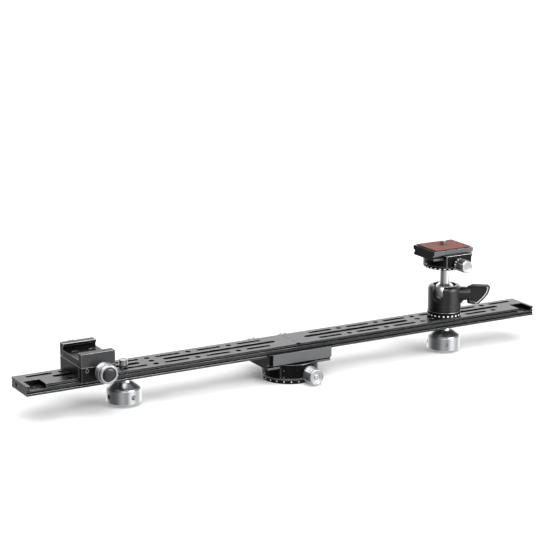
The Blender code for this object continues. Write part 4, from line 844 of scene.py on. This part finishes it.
# %% Threads
def threaded(radius, pitch, low, high, bore=0):
    """A thread from low to high along Z, all sizes in mm."""
    shape = bmesh.new()
    root = radius - 0.55 * pitch
    start = low - pitch
    tooth = [(root, start), (radius, start + 0.5 * pitch), (root, start + pitch)]
    points = [shape.verts.new((r * MM, 0, z * MM)) for r, z in tooth]
    for first, second in zip(points, points[1:]):
        shape.edges.new((first, second))
    turns = math.ceil((high - low) / pitch) + 2
    bmesh.ops.spin(
        shape, geom=shape.verts[:] + shape.edges[:], cent=(0, 0, 0), axis=(0, 0, 1),
        dvec=(0, 0, pitch * MM / 24), angle=math.tau * turns, steps=24 * turns, use_merge=False)
    bmesh.ops.remove_doubles(shape, verts=shape.verts, dist=0.01 * MM)
    for level, keep in ((low, "above"), (high, "below")):
        bmesh.ops.bisect_plane(
            shape, geom=shape.verts[:] + shape.edges[:] + shape.faces[:], dist=0.001 * MM,
            plane_co=(0, 0, level * MM), plane_no=(0, 0, 1), clear_inner=keep == "above",
            clear_outer=keep == "below")
    rims = [[], []]
    for edge in shape.edges:
        if edge.is_boundary:
            rims[edge.verts[0].co.z > (low + high) / 2 * MM].append(edge)
    if bore:
        walls = []
        for rim, level in zip(rims, (low, high)):
            circle = bmesh.ops.create_circle(
                shape, cap_ends=False, radius=bore * MM, segments=24,
                matrix=Matrix.Translation((0, 0, level * MM)))
            hole = list({e for v in circle["verts"] for e in v.link_edges})
            bmesh.ops.bridge_loops(shape, edges=rim + hole)
            walls += hole
        bmesh.ops.bridge_loops(shape, edges=walls)
    else:
        for rim in rims:
            bmesh.ops.contextual_create(shape, geom=rim)
    bmesh.ops.recalc_face_normals(shape, faces=shape.faces)
    return shape


low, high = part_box("thumb_bush_left")
shape = threaded((high.x - low.x) / 2 / MM, 1.3, 0, (high.z - low.z) / MM, bore=3.3)
seat(shape, Vector(((low.x + high.x) / 2, (low.y + high.y) / 2, low.z)))
set_piece(shape, "thumb_stud_threaded", "thumbscrew_left", [STAINLESS], ["thumb_bush_left"])

# %% [markdown]
# ## Rubber pad
# A thin ribbed rubber sheet keeps what is screwed on from turning. The sheet is a grid of strips, thickened
# downwards, and every other strip is raised. A bar cuts the hole for the screw.

# %% Rubber pad
RIB_HEIGHT = 0.25 * MM
low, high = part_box("plate_pad")
shape = bmesh.new()
size = (high - low) / 2
place = Matrix.Translation(((low.x + high.x) / 2, (low.y + high.y) / 2, high.z - RIB_HEIGHT))
bmesh.ops.create_grid(
    shape, x_segments=1, y_segments=35, size=1, matrix=place @ Matrix.Diagonal((size.x, size.y, 1, 1)))
grown = bmesh.ops.extrude_face_region(shape, geom=shape.faces[:])
sunk = [g for g in grown["geom"] if isinstance(g, bmesh.types.BMVert)]
bmesh.ops.translate(shape, vec=(0, 0, low.z - high.z + RIB_HEIGHT), verts=sunk)
bmesh.ops.recalc_face_normals(shape, faces=shape.faces)
tops = sorted(
    (f for f in shape.faces if f.normal.z > 0.9), key=lambda f: f.calc_center_median().y)
bmesh.ops.inset_individual(shape, faces=tops[1::2], thickness=0.12 * MM, depth=RIB_HEIGHT)
mid = middle("plate_screw") / MM
shape = carved(shape, bar(3.6, (mid.x, mid.y, low.z / MM - 1), (mid.x, mid.y, high.z / MM + 1)))
set_piece(shape, "plate_pad_ribbed", "release_plate", [RUBBER], ["plate_pad"])

# %% [markdown]
# ## Small screws
# A socket screw shows as a dark hexagon in a bright ring. The ring is bridged to a hexagon, and the hexagon
# is pushed in.

# %% Small screws
def socket_screw(name, body, radius, place, facing, finish):
    """The head of a socket screw, flush with its place, sizes in mm."""
    shape = bmesh.new()
    outer = bmesh.ops.create_circle(shape, cap_ends=False, radius=radius * MM, segments=24)["verts"]
    inner = bmesh.ops.create_circle(shape, cap_ends=False, radius=0.62 * radius * MM, segments=6)["verts"]
    outer_edges = list({e for v in outer for e in v.link_edges})
    inner_edges = list({e for v in inner for e in v.link_edges})
    bmesh.ops.bridge_loops(shape, edges=outer_edges + inner_edges)
    sunk = bmesh.ops.extrude_edge_only(shape, edges=inner_edges)["geom"]
    bmesh.ops.translate(
        shape, vec=(0, 0, -1.2 * MM), verts=[g for g in sunk if isinstance(g, bmesh.types.BMVert)])
    bmesh.ops.contextual_create(shape, geom=[g for g in sunk if isinstance(g, bmesh.types.BMEdge)])
    skirt = bmesh.ops.extrude_edge_only(shape, edges=outer_edges)["geom"]
    bmesh.ops.translate(
        shape, vec=(0, 0, -2.0 * MM), verts=[g for g in skirt if isinstance(g, bmesh.types.BMVert)])
    bmesh.ops.contextual_create(shape, geom=[g for g in skirt if isinstance(g, bmesh.types.BMEdge)])
    bmesh.ops.recalc_face_normals(shape, faces=shape.faces)
    seat(shape, place, facing)
    set_piece(shape, name, body, [finish])


low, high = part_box("stop_screw")
place = Vector(((low.x + high.x) / 2, low.y, (low.z + high.z) / 2))
socket_screw("stop_screw_head", "carriage_jaw", 1.7, place, "near", STEEL)

# %% [markdown]
# ## What is left of the solids
# Screws, pins, washers and the hidden parts keep their solids. They get the finish of what they are made of.

# %% What is left of the solids
BY_SLOT = {
    "black_anodised": BLACK, "grey_anodised": GREY_AND_LIT_FACE, "satin_silver": BRIGHT, "steel": BLACK_STEEL,
    "brass": BRASS, "acetal": ACETAL, "black_plastic": ABS, "brown_rubber": RUBBER}
for name, node in nodes.items():
    if not node.hide_render:
        for slot in node.material_slots:
            slot.material = BY_SLOT[SLOT_OF[name]]
for name in ("plate_screw", "thumb_shank_left", "thumb_shank_right"):
    nodes[name].material_slots[0].material = STEEL
print("left as solids:", sorted(n for n, o in nodes.items() if not o.hide_render))
